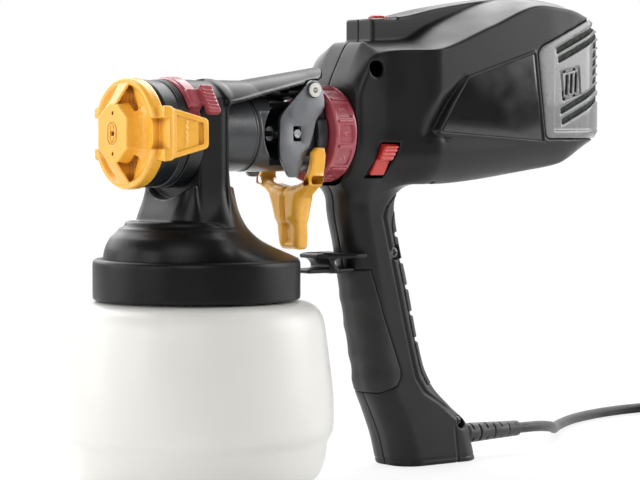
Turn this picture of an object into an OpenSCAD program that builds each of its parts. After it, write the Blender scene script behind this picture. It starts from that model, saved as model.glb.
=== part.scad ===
// Handheld turbine paint sprayer: cup, spray head, turbine handle, cord and plug.
// Millimetres. The nozzle points to -X, +Z is up, and the cup's base is centred on the origin.

/* [Cup] */
// Largest outside radius of the cup
cup_r = 73; // [68:0.5:78]
// Height of the cup's rim
cup_h = 115; // [112:1:122]
// Thickness of the cup's wall
cup_wall = 2; // [1.5:0.25:3]
// Outside radius of the cup's neck
neck_r = 46.5; // [44:0.5:48]
// Height of the step round the cup's lower wall
step_z = 25; // [20:1:32]
// How far the wall steps in below the widest band
step_in = 3.2; // [2:0.2:5]
// Radius of the cup's bottom corner
base_corner_r = 9; // [6:0.5:12]
// How far the cup's shoulder lies below its rim
shoulder_drop = 27; // [25:1:29]

/* [Lid] */
// Gap between the cup's neck and the lid's collar
neck_gap = 3.9; // [3:0.1:5]
// Height of the lid's collar
collar_h = 24; // [20:0.5:27]
// Thickness of the lid's wall
lid_wall = 3.2; // [2.5:0.1:4]
// Thickness of the lid's seal
seal_t = 1.8; // [1.2:0.1:2.5]
// Height of the lid's dome above the collar
dome_h = 20; // [17:0.5:24]
// Radius of the dome at its foot
dome_r = 44; // [43:0.5:46]
// Radius of the flat top of the dome
dome_top_r = 31.5; // [30:0.5:36]
// How far the dome's centre lies in front of the cup's
dome_shift = 6.5; // [4:0.5:7]
// Outside radius of the suction tube
tube_r = 4.5; // [3.5:0.25:5.5]
// Gap between the suction tube's end and the cup's floor
tube_gap = 5; // [3:0.5:10]

/* [Spray head] */
// Height of the barrel's axis above the dome
axis_rise = 46.2; // [45:0.2:52]
// Outside radius of the barrel
barrel_r = 20.2; // [19.6:0.1:20.4]
// Thickness of the barrel's wall
barrel_wall = 3; // [2.5:0.1:4]
// Rear end of the barrel
barrel_end_x = 27; // [24:0.5:28]
// Half width of the column that carries the barrel
column_w = 24; // [23:0.25:25]
// Rear face of the column
column_x = 8; // [6:0.5:10]
// Outside radius of the saddle over the barrel
saddle_r = 28.5; // [28:0.1:29.5]
// Rear tip of the saddle's fin
fin_x = 82.6; // [78:0.2:84]
// Thickness of the fin
fin_t = 2.8; // [2:0.1:3.4]
// Radius of the union ring
union_r = 28.5; // [27:0.1:28.8]
// Radius of the width ring
width_ring_r = 30; // [28.5:0.1:30]
// Radius of the air cap's rim
cap_r = 29; // [27.5:0.1:30]
// Front plane of the air cap's rim
cap_front_x = -46; // [-48:0.2:-45]
// Length that the air cap's hub stands out of its rim
hub_out = 7; // [4:0.2:9]
// Thickness of the air cap's wings
wing_t = 3; // [2:0.1:3.6]
// Radius of the needle
needle_r = 1.5; // [1.2:0.1:1.8]
// Radius of the valve body behind the barrel
valve_r = 20.5; // [20:0.1:21]
// Outside radius of the rear spigot
spigot_r = 18.5; // [17.6:0.1:18.8]

/* [Trigger] */
// Place of the trigger's pivot along the sprayer
pivot_x = 63.8; // [62:0.2:65]
// Height of the trigger's pivot above the barrel's axis
pivot_rise = 23.5; // [23:0.1:24.5]
// Radius of the pivot pin
pivot_r = 2.5; // [2:0.1:2.8]
// Thickness of each trigger plate
plate_t = 2; // [1.5:0.1:2.2]
// Radius of the cross pin that pulls the needle
cross_pin_r = 2.3; // [2:0.1:2.4]
// Half width of the trigger's finger blade
blade_w = 9; // [7:0.5:11]
// Lowest point of the blade above the collar
blade_gap = 3; // [2.5:0.25:6]
// Radius of the flow ring
flow_ring_r = 26.6; // [25.5:0.1:27]
// Width of the flow ring
flow_ring_w = 14.5; // [12:0.5:15]

/* [Turbine handle] */
// Gap between the turbine's volute and the housing's wall
volute_gap = 1.2; // [0.6:0.1:3]
// Thickness of the housing's wall
shell_t = 2.8; // [2.4:0.1:3.2]
// Height of the motor's axis above the barrel's axis
motor_rise = 24.5; // [23:0.5:26]
// Radius of the fans
fan_r = 32; // [28:0.5:33]
// Radius of the motor's field core
motor_r = 27; // [24:0.5:29]
// Radius of the motor's shaft
shaft_r = 4; // [3:0.25:5]
// Half width of the grip
grip_w = 16.6; // [15.5:0.2:18]
// Depth of the rubber grip panels
rubber_t = 1.2; // [0.8:0.1:1.4]
// Thickness of the side panels
panel_t = 1.2; // [0.8:0.1:1.5]
// Thickness of the finger guard's plates
guard_t = 2.4; // [1.6:0.2:3]
// Radius of the release button
button_r = 5.5; // [4:0.25:6]
// Radius of the screws
screw_r = 1.8; // [1.4:0.1:2.2]

/* [Cord] */
// Diameter of the cord
cord_d = 6.4; // [5.6:0.1:6.8]
// Length of the strain relief outside the foot
relief_len = 44; // [30:1:50]
// Radius of the coil's outer loop
coil_r = 51; // [49:0.5:54]
// Length of the plug's body
plug_len = 26; // [22:0.5:32]
// Length of the plug's blades
blade_len = 17; // [15:0.5:18]

/* [Hidden] */
$fn = 64;
eps = 0.01;
run_gap = 0.3;
fit_gap = 0.05;
seat_gap = 0.1;

// Widths that follow from the neck and from the fans outwards.
thread_depth = 1.6;
collar_bore = neck_r + neck_gap;
collar_r = collar_bore + thread_depth + lid_wall;
volute_r = fan_r + 4;
pod_w = volute_r + volute_gap + shell_t;

// Heights that follow from the cup upwards.
shoulder_z = cup_h - shoulder_drop;
seat_z = cup_h + seal_t + seat_gap;
collar_top = seat_z + 4.3;
collar_low = collar_top - collar_h;
dome_top = collar_top + dome_h;
axis_z = dome_top + axis_rise;
pivot_z = axis_z + pivot_rise;
motor_z = axis_z + motor_rise;
guard_top = axis_z - 66;
guard_low = guard_top - 10.5;

// Places along the spray head.
union_front = cap_front_x + 8.5;
union_back = union_front + 15;
width_back = union_back + 8.7;
ring_front = pivot_x + 9.7;
ring_back = ring_front + flow_ring_w;
spigot_back = ring_back + 9;
wing_in = max(width_ring_r, union_r) + 0.5;
shell_x = ring_back + 0.5;
plate_in = valve_r - 3.3;
flange_r = union_r - 4.3;
plate_out = plate_in + plate_t;
arm_in = plate_out + 0.3;
arm_out = arm_in + 4.5;
slot_x = pivot_x - 11.3;

// Tubes along an axis, from one end to the other.
module x_rod(x0, x1, r) {
    translate([x0, 0, 0]) rotate([0, 90, 0]) cylinder(h = x1 - x0, r = r);
}
module x_cone(x0, x1, r0, r1) {
    translate([x0, 0, 0]) rotate([0, 90, 0]) cylinder(h = x1 - x0, r1 = r0, r2 = r1);
}
module x_tube(x0, x1, r_out, r_in) {
    difference() {
        x_rod(x0, x1, r_out);
        x_rod(x0 - 1, x1 + 1, r_in);
    }
}
module y_rod(y0, y1, r) {
    translate([0, y0, 0]) rotate([-90, 0, 0]) cylinder(h = y1 - y0, r = r);
}
function mid(a, b, t) = a + (b - a) * t;
// A block between two corners.
module block(low, high) {
    translate(low) cube(high - low);
}
// A side outline in X and Z, given its thickness from y0 to y1.
module side_plate(points, y0, y1) {
    translate([0, y1, 0]) rotate([90, 0, 0]) linear_extrude(height = y1 - y0) polygon(points);
}
module on_axis() {
    translate([0, 0, axis_z]) children();
}
module on_motor() {
    translate([0, 0, motor_z]) children();
}
module both_sides() {
    children();
    mirror([0, 1, 0]) children();
}
function arc(centre, r, from, to, steps) = [
    for (i = [0 : steps]) let (a = from + (to - from) * i / steps)
        [centre[0] + r * cos(a), centre[1] + r * sin(a)]
];

// ---- Cup ----

// The cup's side from its bottom corner to its rim, drawn in by t.
function cup_side(t) = concat(
    arc([cup_r - 5.3 - base_corner_r, base_corner_r], base_corner_r - t, -90, 0, 6),
    [
        [cup_r - step_in - t, step_z],
        [cup_r - t, step_z + 5],
        [cup_r - t, step_z + 21],
        [cup_r - 1.2 - t, step_z + 33],
        [cup_r - 4.3 - t, shoulder_z - 10],
        [cup_r - 6 - t, shoulder_z],
        [cup_r - 7.6 - t, shoulder_z + 3.5],
        [cup_r - 11 - t, shoulder_z + 6.4 - t * 0.4],
        [neck_r + 5 - t, shoulder_z + 8.2 - t * 0.7],
        [neck_r - t, shoulder_z + 10 - t * 0.7],
        [neck_r - t, cup_h]
    ]
);
module cup() {
    color("whitesmoke")
    rotate_extrude($fn = 96)
    difference() {
        polygon(concat([[0, 0]], cup_side(0), [[0, cup_h]]));
        polygon(concat([[0, cup_wall]], cup_side(cup_wall), [[neck_r - cup_wall, cup_h + 1], [0, cup_h + 1]]));
    }
}

// ---- Lid ----

module lid_seal() {
    color("dimgray")
    translate([0, 0, cup_h])
    difference() {
        cylinder(h = seal_t, r = neck_r);
        translate([0, 0, -1]) cylinder(h = seal_t + 2, r = neck_r - 4.5);
    }
}
// The dome's side, drawn in by t.
function dome_side(t) = [
    [dome_r - t, collar_top - t],
    [dome_r - 0.8 - t, collar_top + dome_h * 0.35 - t * 0.2],
    [dome_r - 3 - t, collar_top + dome_h * 0.6 - t * 0.5],
    [mid(dome_top_r, dome_r, 0.35) - t, collar_top + dome_h * 0.85 - t * 0.8],
    [dome_top_r - t, dome_top - t]
];
module lid() {
    color("#2b2d30")
    difference() {
        union() {
            rotate_extrude($fn = 96) polygon(concat(
                [[0, collar_low], [collar_r - 0.6, collar_low], [collar_r, collar_low + 0.8]],
                arc([collar_r - 2.5, collar_top - 2.5], 2.5, 0, 90, 5),
                [[0, collar_top]]
            ));
            translate([-dome_shift, 0, 0]) rotate_extrude($fn = 96)
                polygon(concat([[0, collar_top - 4]], dome_side(0), [[0, dome_top]]));
        }
        translate([0, 0, collar_low - 1]) cylinder(h = seat_z - collar_low + 1, r = collar_bore, $fn = 96);
        translate([0, 0, seat_z - 1]) cylinder(h = collar_top - lid_wall - seat_z + 1, r = neck_r - 5);
        intersection() {
            translate([-dome_shift, 0, 0]) rotate_extrude($fn = 96)
                polygon(concat([[0, collar_top - lid_wall - 1]], dome_side(lid_wall), [[0, dome_top - lid_wall]]));
            cylinder(h = dome_top, r = neck_r - 5);
        }
        translate([0, 0, dome_top - 10]) cylinder(h = 20, r = tube_r + run_gap);
        translate([-15, 0, dome_top - 10]) cylinder(h = 20, r = 3);
    }
}

// ---- Column, saddle and fin ----

column_front = -20;
fin_tilt = 9;
fin_bend_x = 28;
sweep_r = wing_in + wing_t + 2;
web_low = 17.4;
boss_r = 5.6;
module column_block(x0, x1, z0, z1) {
    corner = 5;
    hull() {
        for (x = [x0 + corner, x1 - corner], y = [-1, 1] * (column_w - corner)) {
            translate([x, y, z0]) cylinder(h = z1 - z0, r = corner, $fn = 32);
        }
    }
}
module fin() {
    arch = saddle_r - fin_t;
    intersection() {
        union() {
            on_axis() x_tube(column_x - 2, fin_bend_x, saddle_r, arch);
            translate([fin_bend_x, 0, axis_z]) rotate([0, -fin_tilt, 0]) x_tube(-6, fin_x, saddle_r, arch);
        }
        side_plate([
            [column_x - 3, axis_z + 14.5],
            [column_x, axis_z + 15.5],
            [fin_x, axis_z + 32],
            [fin_x, axis_z + 50],
            [column_x - 3, axis_z + 50]
        ], -column_w, column_w);
    }
}
module frame() {
    color("#2b2d30")
    difference() {
        union() {
            intersection() {
                column_block(column_front, column_x, dome_top + 8, axis_z + saddle_r + 1);
                union() {
                    on_axis() x_rod(column_front - 1, column_x + 1, saddle_r);
                    block([column_front - 1, -40, dome_top], [column_x + 1, 40, axis_z]);
                }
            }
            hull() {
                column_block(-26, 13, dome_top, dome_top + 1);
                column_block(column_front, column_x, dome_top + 11, dome_top + 12);
            }
            fin();
            block([column_x - 1, -3, axis_z + web_low + 5], [fin_x - 12, 3, axis_z + saddle_r - 1.5]);
            translate([pivot_x, 0, pivot_z]) y_rod(-plate_in + 0.3, plate_in - 0.3, boss_r);
        }
        on_axis() x_rod(column_front - 20, column_x + 20, barrel_r + fit_gap);
        on_axis() x_rod(column_front - 20, width_back + 0.5, sweep_r);
        translate([pivot_x, 0, pivot_z]) {
            y_rod(-30, 30, pivot_r);
            both_sides() y_rod(plate_in - run_gap, column_w + 6, boss_r + 0.6);
        }
        translate([0, 0, dome_top - 1]) cylinder(h = 40, r = tube_r + run_gap);
        translate([-15, 0, dome_top - 1]) cylinder(h = 9, r = 3);
    }
}

// ---- Barrel and fluid passage ----

module barrel() {
    color("#3a3c3f")
    difference() {
        on_axis() {
            x_tube(union_front + 4, barrel_end_x, barrel_r, barrel_r - barrel_wall);
            x_tube(union_front + 7.1, union_front + 8.8, flange_r, barrel_r - 1);
        }
        translate([0, 0, axis_z - barrel_r - 2]) cylinder(h = 10, r = tube_r + run_gap);
    }
}
module tube_socket() {
    color("#4a4c4f")
    difference() {
        union() {
            on_axis() x_tube(-28, 29.7, 8, needle_r + 1.6);
            translate([0, 0, axis_z - barrel_r]) cylinder(h = barrel_r - 6, r = tube_r);
        }
        translate([0, 0, axis_z - barrel_r - 1]) cylinder(h = barrel_r + 2, r = tube_r - 1.5);
        on_axis() x_rod(20, 31, 5.5);
    }
}
module suction_tube() {
    color("gainsboro")
    translate([0, 0, cup_wall + tube_gap])
    difference() {
        cylinder(h = axis_z - barrel_r - cup_wall - tube_gap, r = tube_r);
        translate([0, 0, -1]) cylinder(h = axis_z, r = tube_r - 1.5);
    }
}
module air_valve() {
    color("#b8bcc0")
    translate([-15, 0, dome_top - lid_wall - 6]) {
        difference() {
            cylinder(h = lid_wall + 13, r = 2.9);
            translate([0, 0, -1]) cylinder(h = lid_wall + 20, r = 1.4);
        }
        difference() {
            cylinder(h = 5.8, r = 5);
            translate([0, 0, -1]) cylinder(h = 20, r = 2.9);
        }
    }
}
module fluid_tip() {
    hub_front = cap_front_x - hub_out;
    color("goldenrod")
    on_axis()
    difference() {
        union() {
            x_rod(-34, -28, 7);
            x_cone(hub_front + 3, -34, 2, 6);
            x_rod(hub_front + 0.4, hub_front + 3, 2);
        }
        x_rod(hub_front - 1, -27, needle_r + 0.25);
    }
}
module tip_seal() {
    color("black")
    on_axis() x_tube(-30, -28.2, 9, 7.02);
}
module needle_packing() {
    color("ivory")
    on_axis() x_tube(20, 25, 5.45, needle_r + fit_gap);
}
module packing_nut() {
    color("goldenrod")
    on_axis() x_tube(25.1, 29.6, 5.45, needle_r + fit_gap);
}
module union_ring() {
    color("#26282a")
    on_axis()
    difference() {
        x_rod(union_front, union_back, union_r);
        x_rod(union_front - 1, union_front + 9, union_r - 2.6);
        x_rod(union_front, union_back + 1, barrel_r + 0.4);
        for (i = [0 : 23]) {
            rotate([i * 15, 0, 0]) block([union_front + 3, -0.5, union_r - 0.5], [union_back - 2, 0.5, union_r + 1]);
        }
    }
}

// ---- Valve body, spigot, needle ----

pocket_front = barrel_end_x + 2.5;
pocket_back = pivot_x + 2.7;
spring_front = slot_x + 6.2;
bridge_x = ring_front - 3;
module valve_body() {
    inner = spigot_r - 3;
    color("#3a3c3f")
    on_axis()
    difference() {
        union() {
            x_tube(barrel_end_x + 0.1, ring_front - 0.6, valve_r, inner);
            x_tube(30, 42, 5.5, needle_r + 0.3);
            intersection() {
                x_rod(31, 40, inner + 1);
                union() {
                    block([32, -1.2, -30], [40, 1.2, 30]);
                    block([32, -30, -1.2], [40, 30, 1.2]);
                }
            }
        }
        x_rod(pivot_x + 2, ring_front + 1, spigot_r + fit_gap);
        both_sides() block([pocket_front, plate_in - 0.3, -30], [pocket_back, 30, 30]);
        both_sides() block([pocket_back - 1, plate_in - 0.3, 7.5], [ring_front + 1, 30, 30]);
        block([pivot_x - 18, -30, web_low], [ring_front + 1, 30, 30]);
        block([slot_x - cross_pin_r - 0.6, -30, -cross_pin_r - 0.6], [slot_x + 6.4, 30, cross_pin_r + 0.6]);
        x_rod(0, 43, needle_r + 0.3);
    }
}
module rear_spigot() {
    inner = spigot_r - 3;
    color("#2b2d30")
    on_axis()
    difference() {
        union() {
            x_tube(pivot_x + 2.6, spigot_back, spigot_r, inner);
            intersection() {
                x_rod(bridge_x, bridge_x + 3, inner + 1);
                union() {
                    block([bridge_x, -2.5, -30], [bridge_x + 3, 2.5, 30]);
                    x_rod(bridge_x, bridge_x + 3, 7);
                }
            }
        }
        x_rod(bridge_x - 1, bridge_x + 4, needle_r + 0.6);
        x_tube(spigot_back - 6, spigot_back - 3.5, spigot_r + 1, spigot_r - 1.2);
    }
}
module spigot_seal() {
    color("black")
    on_axis() x_tube(spigot_back - 5.9, spigot_back - 3.6, spigot_r + 0.15, spigot_r - 1.15);
}
module needle() {
    hub_front = cap_front_x - hub_out;
    color("silver")
    on_axis()
    difference() {
        union() {
            x_cone(hub_front + 1.5, hub_front + 5, 0.4, needle_r);
            x_rod(hub_front + 5 - eps, bridge_x + 1, needle_r);
            x_rod(slot_x - 4.5, spring_front - 0.2, 4);
        }
        translate([slot_x, 0, 0]) y_rod(-10, 10, cross_pin_r + 0.02);
    }
}
module cross_pin() {
    color("silver")
    translate([slot_x, 0, axis_z]) y_rod(-plate_out - 0.4, plate_out + 0.4, cross_pin_r);
}
module needle_spring() {
    color("silver")
    on_axis() x_tube(spring_front, bridge_x - 0.1, 4.2, 3);
}

// ---- Trigger ----

module pivot_pin() {
    color("silver")
    translate([pivot_x, 0, pivot_z]) {
        y_rod(-plate_out - 0.3, plate_out + 0.3, pivot_r);
        both_sides() y_rod(plate_out + 0.2, plate_out + 1.6, pivot_r + 1.6);
    }
}
module trigger_plates() {
    outline = concat(
        [[-22.4, -14], [-23.2, -37], [-17, -46], [-17, -52], [-8, -52], [-9.5, -43]],
        [[-6.2, -29], [-1.6, -22], [0.8, -15.4], [7.2, -10.5], [6.6, -3]],
        arc([0, 0], 5.6, 0, 150, 7)
    );
    color("#55585c")
    both_sides()
    difference() {
        side_plate([for (p = outline) [pivot_x + p[0], pivot_z + p[1]]], plate_in, plate_out);
        translate([pivot_x, 0, pivot_z]) y_rod(0, 30, pivot_r + fit_gap);
        block(
            [slot_x - cross_pin_r - 0.4, 0, axis_z - cross_pin_r - 1.9],
            [slot_x + cross_pin_r + 0.4, 30, axis_z + cross_pin_r + 1.9]
        );
    }
}
module trigger() {
    low = collar_top + blade_gap;
    arm = [
        [-2, -33.5], [1, -31], [4.4, -31], [5.2, -35], [4.2, -41], [2.5, -47.5], [1, -50.5],
        [-7, -50.5], [-6, -47.5], [-3.8, -44], [-2.2, -39]
    ];
    yoke = [
        [arm_in, -47.5], [arm_out, -47.5], [arm_out, -49], [arm_out - 5, -53.5], [blade_w + 5, -57.5],
        [blade_w + 2, -62], [blade_w, -72], [0, -72], [0, -54], [blade_w + 3, -54]
    ];
    color("gold") {
        both_sides() {
            side_plate([for (p = arm) [pivot_x + p[0], pivot_z + p[1]]], arm_in, arm_out);
            translate([pivot_x - 6.5, 0, pivot_z]) rotate([90, 0, 90]) linear_extrude(height = 7.5) polygon(yoke);
        }
        hull() {
            block([pivot_x - 6.5, -blade_w - 2, pivot_z - 60], [pivot_x + 5, blade_w + 2, pivot_z - 56]);
            block([pivot_x - 4.5, -blade_w, pivot_z - 72], [pivot_x + 3.5, blade_w, pivot_z - 71]);
        }
        hull() {
            block([pivot_x - 4.5, -blade_w, pivot_z - 72], [pivot_x + 3.5, blade_w, pivot_z - 71]);
            translate([pivot_x - 1.6, 0, low + 2.5]) y_rod(-blade_w + 1, blade_w - 1, 2.5, $fn = 24);
            translate([pivot_x + 2.5, 0, low + 2]) y_rod(-blade_w + 1, blade_w - 1, 2, $fn = 24);
        }
    }
}

// ---- Air cap, width ring, flow ring ----

module air_cap() {
    rim_back = union_front - 0.4;
    hub_front = cap_front_x - hub_out;
    color("gold")
    on_axis()
    difference() {
        union() {
            x_rod(cap_front_x + 1.5, rim_back, cap_r);
            x_cone(cap_front_x, cap_front_x + 1.5, cap_r - 1.5, cap_r);
            x_cone(hub_front, cap_front_x + 4, 9, 13);
            intersection() {
                side_plate([
                    [cap_front_x + 4, -cap_r + 2], [hub_front + 4.5, -12], [hub_front, -8],
                    [hub_front, 8], [hub_front + 4.5, 12], [cap_front_x + 4, cap_r - 2]
                ], -5, 5);
                x_rod(hub_front - 1, rim_back, cap_r - 1);
            }
            x_tube(rim_back - 1, rim_back + 7, union_r - 3, union_r - 6);
            both_sides() wing(rim_back);
        }
        difference() {
            x_rod(cap_front_x - 1, cap_front_x + 3, cap_r - 4);
            x_rod(cap_front_x - 2, cap_front_x + 4, 12.3);
            block([cap_front_x - 2, -5, -30], [cap_front_x + 4, 5, 30]);
        }
        x_rod(hub_front - 1, rim_back + 1, 2.3);
        x_cone(hub_front + 3, rim_back + 1, 2.3, 12);
        for (z = [-11, 11]) {
            translate([0, 0, z]) x_rod(hub_front - 1, rim_back, 0.9);
        }
    }
}
module wing(rim_back) {
    root = cap_r - 3;
    translate([0, wing_in + wing_t, 0]) rotate([90, 0, 0]) linear_extrude(height = wing_t)
        polygon([
            [cap_front_x + 3, -14.3], [width_back - 1, -7.5], [width_back - 1, 7.5],
            [cap_front_x + 3, 14.3]
        ]);
    block([cap_front_x + 3, root - 4, -14], [rim_back, wing_in + wing_t, 14]);
}
module width_ring() {
    color("firebrick")
    on_axis() {
        x_tube(union_back + 0.3, width_back - 0.3, width_ring_r, barrel_r + run_gap);
        rotate([42, 0, 0])
        difference() {
            block([union_back + 0.3, -9, width_ring_r - 3], [width_back - 0.3, 9, width_ring_r + 3.5]);
            for (y = [-6 : 3 : 6]) {
                block([union_back, y - 0.6, width_ring_r + 2.5], [width_back, y + 0.6, width_ring_r + 4]);
            }
        }
    }
}
module flow_ring() {
    pads = 12;
    color("firebrick")
    on_axis()
    difference() {
        x_rod(ring_front, ring_back, flow_ring_r);
        x_rod(ring_front - 1, ring_back + 1, spigot_r + run_gap);
        for (i = [0 : pads - 1]) {
            rotate([i * 360 / pads, 0, 0])
                block([ring_front + 2.6, -4.6, flow_ring_r - 1.2], [ring_back - 2.6, 4.6, flow_ring_r + 2]);
        }
    }
}

// ---- Turbine housing ----

// Each section: place along X, low and high edge from the barrel's axis, half width, corner radius.
pod_sections = [
    [shell_x, -26.5, 26.5, 26, 24],
    [shell_x + 18, -28, 56, 27.5, 22],
    [shell_x + 49, -28, 69, pod_w, 22],
    [shell_x + 127, -22.5, 81.5, pod_w, 26],
    [shell_x + 160, -12, 78.5, pod_w - 2, 26],
    [shell_x + 176, 0, 69, pod_w - 9, 22],
    [shell_x + 185, 11, 56, pod_w - 22, 15]
];
// Height where the grip's foot starts to flare.
foot_top = 58;
// Each section: height, centre along X, half length along X, half width, corner radius.
grip_sections = [
    [axis_z - 14, 112, 22, grip_w + 1.5, 14],
    [axis_z - 40, 110.8, 20.4, grip_w, 14],
    [axis_z - 61, 114.5, 19.8, grip_w, 14],
    [axis_z - 80, 119, 20.4, grip_w, 14],
    [foot_top, 130, 21.6, grip_w, 14],
    [44, 135, 24, grip_w + 0.4, 13],
    [32, 144, 27, grip_w + 1, 12],
    [21, 152.5, 30, grip_w + 1.5, 12],
    [0, 159, 30, grip_w + 1.5, 12]
];
module pod_slab(s, t) {
    corner = s[4] - t;
    for (y = [-1, 1] * (s[3] - s[4]), z = [s[1] + s[4], s[2] - s[4]]) {
        translate([s[0], y, axis_z + z]) rotate([0, 90, 0]) cylinder(h = 0.5, r = corner, $fn = 28);
    }
}
module grip_slab(s, t) {
    corner = s[4] - t;
    for (x = [-1, 1] * (s[2] - s[4]), y = [-1, 1] * (s[3] - s[4])) {
        translate([s[1] + x, y, s[0]]) cylinder(h = 0.5, r = corner, $fn = 28);
    }
}
// The pod drawn in by t all round.
module pod_form(t) {
    last = len(pod_sections) - 1;
    for (i = [0 : last - 1]) {
        a = pod_sections[i] + (i == 0 ? [t, 0, 0, 0, 0] : [0, 0, 0, 0, 0]);
        b = pod_sections[i + 1] - (i == last - 1 ? [t + 0.5, 0, 0, 0, 0] : [0, 0, 0, 0, 0]);
        hull() {
            pod_slab(a, t);
            pod_slab(b, t);
        }
    }
}
module grip_form(t) {
    last = len(grip_sections) - 1;
    for (i = [0 : last - 1]) {
        b = grip_sections[i + 1] + (i == last - 1 ? [t, 0, 0, 0, 0] : [0, 0, 0, 0, 0]);
        hull() {
            grip_slab(grip_sections[i], t);
            grip_slab(b, t);
        }
    }
}
boss_x = shell_x + 21;
boss_top = axis_z + 64;
module boss_form(t) {
    hull() {
        block([boss_x + t, -12 + t, axis_z + 40], [boss_x + 30, 12 - t, boss_top - 3 - t]);
        block([boss_x + 4 + t, -10 + t, axis_z + 40], [boss_x + 28, 10 - t, boss_top + 1 - t]);
    }
}
module outer_form(t) {
    pod_form(t);
    grip_form(t);
    boss_form(t);
}

// Regions of the outer skin that other pieces fill.
rubber_top = guard_low + 1.1;
front_rubber = [[80, 38], [131, 38], [134, 46], [119, rubber_top], [80, rubber_top]];
module front_rubber_zone() {
    side_plate(front_rubber, -30, 30);
}
module rear_rubber_zone() {
    high = axis_z - 71.4;
    low = foot_top + 4;
    side_plate([[137, high], [170, high], [170, low], [149.5, low]], -7, 7);
}
cover_x = shell_x + 132.5;
cover_low = axis_z - 3;
cover_high = axis_z + 51;
module cover_zone(gap) {
    side_plate([
        [cover_x + gap, cover_low + gap], [cover_x + gap, cover_high - gap],
        [cover_x + 70, cover_high + 18 - gap], [cover_x + 70, cover_low + gap]
    ], -60, 60);
}
panel_outline = [
    [shell_x + 48, axis_z + 1.5], [shell_x + 58, axis_z + 17], [shell_x + 68, axis_z + 30.5],
    [shell_x + 117, axis_z + 45.5], [shell_x + 124, axis_z - 3.5]
];
rocker_x = shell_x + 18.5;
rocker_z = axis_z - 14.5;
rocker_y = -25.8;
rocker_tilt = 26;
window_gap = 0.6;
module rocker_window(gap) {
    side_plate([
        [rocker_x - 9 - gap, rocker_z - 9 - gap], [rocker_x + 1 + gap, rocker_z - 9 - gap],
        [rocker_x + 8 + gap, rocker_z + 9 + gap], [rocker_x - 2 - gap, rocker_z + 9 + gap]
    ], -36, -17);
}
screw_places = [[shell_x + 13, axis_z + 35.5], [129, guard_top - 0.4], [172, 23]];
screw_head_y = -12;
rib_t = 3;
filter_x = shell_x + 144.1;
button_x = boss_x + 14;
module screw_posts(y0, y1) {
    for (p = screw_places) {
        translate([p[0], 0, p[1]]) y_rod(y0, y1, screw_r + 3);
    }
}
// A rib across the pod with a round seat on the motor's axis.
module rib(x, r) {
    difference() {
        block([x, -60, axis_z - 40], [x + rib_t, 60, axis_z + 100]);
        on_motor() x_rod(x - 1, x + rib_t + 1, r);
    }
}
// The ribs stay clear of the rear cover's wall.
module ribs() {
    difference() {
        intersection() {
            pod_form(shell_t - 0.2);
            union() {
                rib(volute_x + 8, volute_r + fit_gap);
                rib(field_x - 7.6, bracket_r + fit_gap);
                rib(rear_bracket_x + 0.5, rear_bracket_r + fit_gap);
                rib(filter_x - rib_t - 0.1, motor_r - 3);
            }
        }
        difference() {
            cover_zone(-run_gap);
            pod_form(shell_t + run_gap);
        }
    }
}
module button_shelf() {
    intersection() {
        pod_form(shell_t - 0.4);
        block([button_x - 9, -30, boss_top - 13], [button_x + 9, 30, boss_top - 11]);
    }
}
module housing(side) {
    foot_back = 190;
    intersection() {
        difference() {
            union() {
                difference() {
                    outer_form(0);
                    outer_form(shell_t);
                    cover_zone(0);
                }
                intersection() {
                    outer_form(0);
                    screw_posts(side * 30, 0);
                }
                ribs();
                button_shelf();
            }
            intersection() {
                difference() {
                    grip_form(-1);
                    grip_form(rubber_t);
                }
                union() {
                    front_rubber_zone();
                    rear_rubber_zone();
                }
            }
            side_plate(panel_outline, side * pod_w - panel_t, side * pod_w + panel_t);
            on_axis() x_rod(shell_x - 5, shell_x + 8, spigot_r + 2.6);
            if (side < 0) {
                rocker_window(window_gap);
            }
            translate([0, 0, boss_top - 11]) translate([button_x, 0, 0]) cylinder(h = 20, r = button_r + run_gap);
            translate([0, 0, relief_z]) x_rod(foot_back - 12, foot_back + 12, cord_d / 2 + 2.4);
            for (p = screw_places) {
                translate([p[0], 0, p[1]]) {
                    y_rod(-40, screw_head_y, screw_r + 1.9);
                    y_rod(screw_head_y - 1, 0, screw_r + 0.3);
                    y_rod(-1, 9, screw_r);
                }
            }
        }
        block([0, min(0, side * 80), -1], [400, max(0, side * 80), 400]);
    }
}
module housing_near() {
    color("#33363a") housing(-1);
}
module housing_far() {
    color("#33363a") housing(1);
}
module panel_near() {
    color("#17181a") side_plate(panel_outline, -pod_w, -pod_w + panel_t);
}
module panel_far() {
    color("#17181a") side_plate(panel_outline, pod_w - panel_t, pod_w);
}
module grip_front() {
    color("#202224")
    intersection() {
        difference() {
            grip_form(0);
            grip_form(rubber_t);
        }
        front_rubber_zone();
    }
}
module grip_rear() {
    color("#202224")
    intersection() {
        difference() {
            grip_form(0);
            grip_form(rubber_t);
        }
        rear_rubber_zone();
    }
}
module finger_guard() {
    grip_x = 94.5;
    color("#26282a") {
        difference() {
            hull() {
                block([78, -10, guard_top - guard_t], [grip_x, 10, guard_top]);
                block([grip_x, -grip_w - 2.5, guard_top - guard_t], [grip_x + 8, grip_w + 2.5, guard_top]);
            }
            grip_form(-0.1);
        }
        difference() {
            block([68, -9, guard_low], [grip_x + 6, 9, guard_low + guard_t]);
            grip_form(-0.1);
        }
        block([78, -10, guard_low], [81.5, 10, guard_top]);
    }
}
module housing_screws() {
    color("silver")
    for (p = screw_places) {
        translate([p[0], 0, p[1]]) {
            y_rod(screw_head_y - 1, 8, screw_r);
            y_rod(screw_head_y - 2.2, screw_head_y, screw_r + 1.5);
        }
    }
}

// ---- Turbine ----

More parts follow.
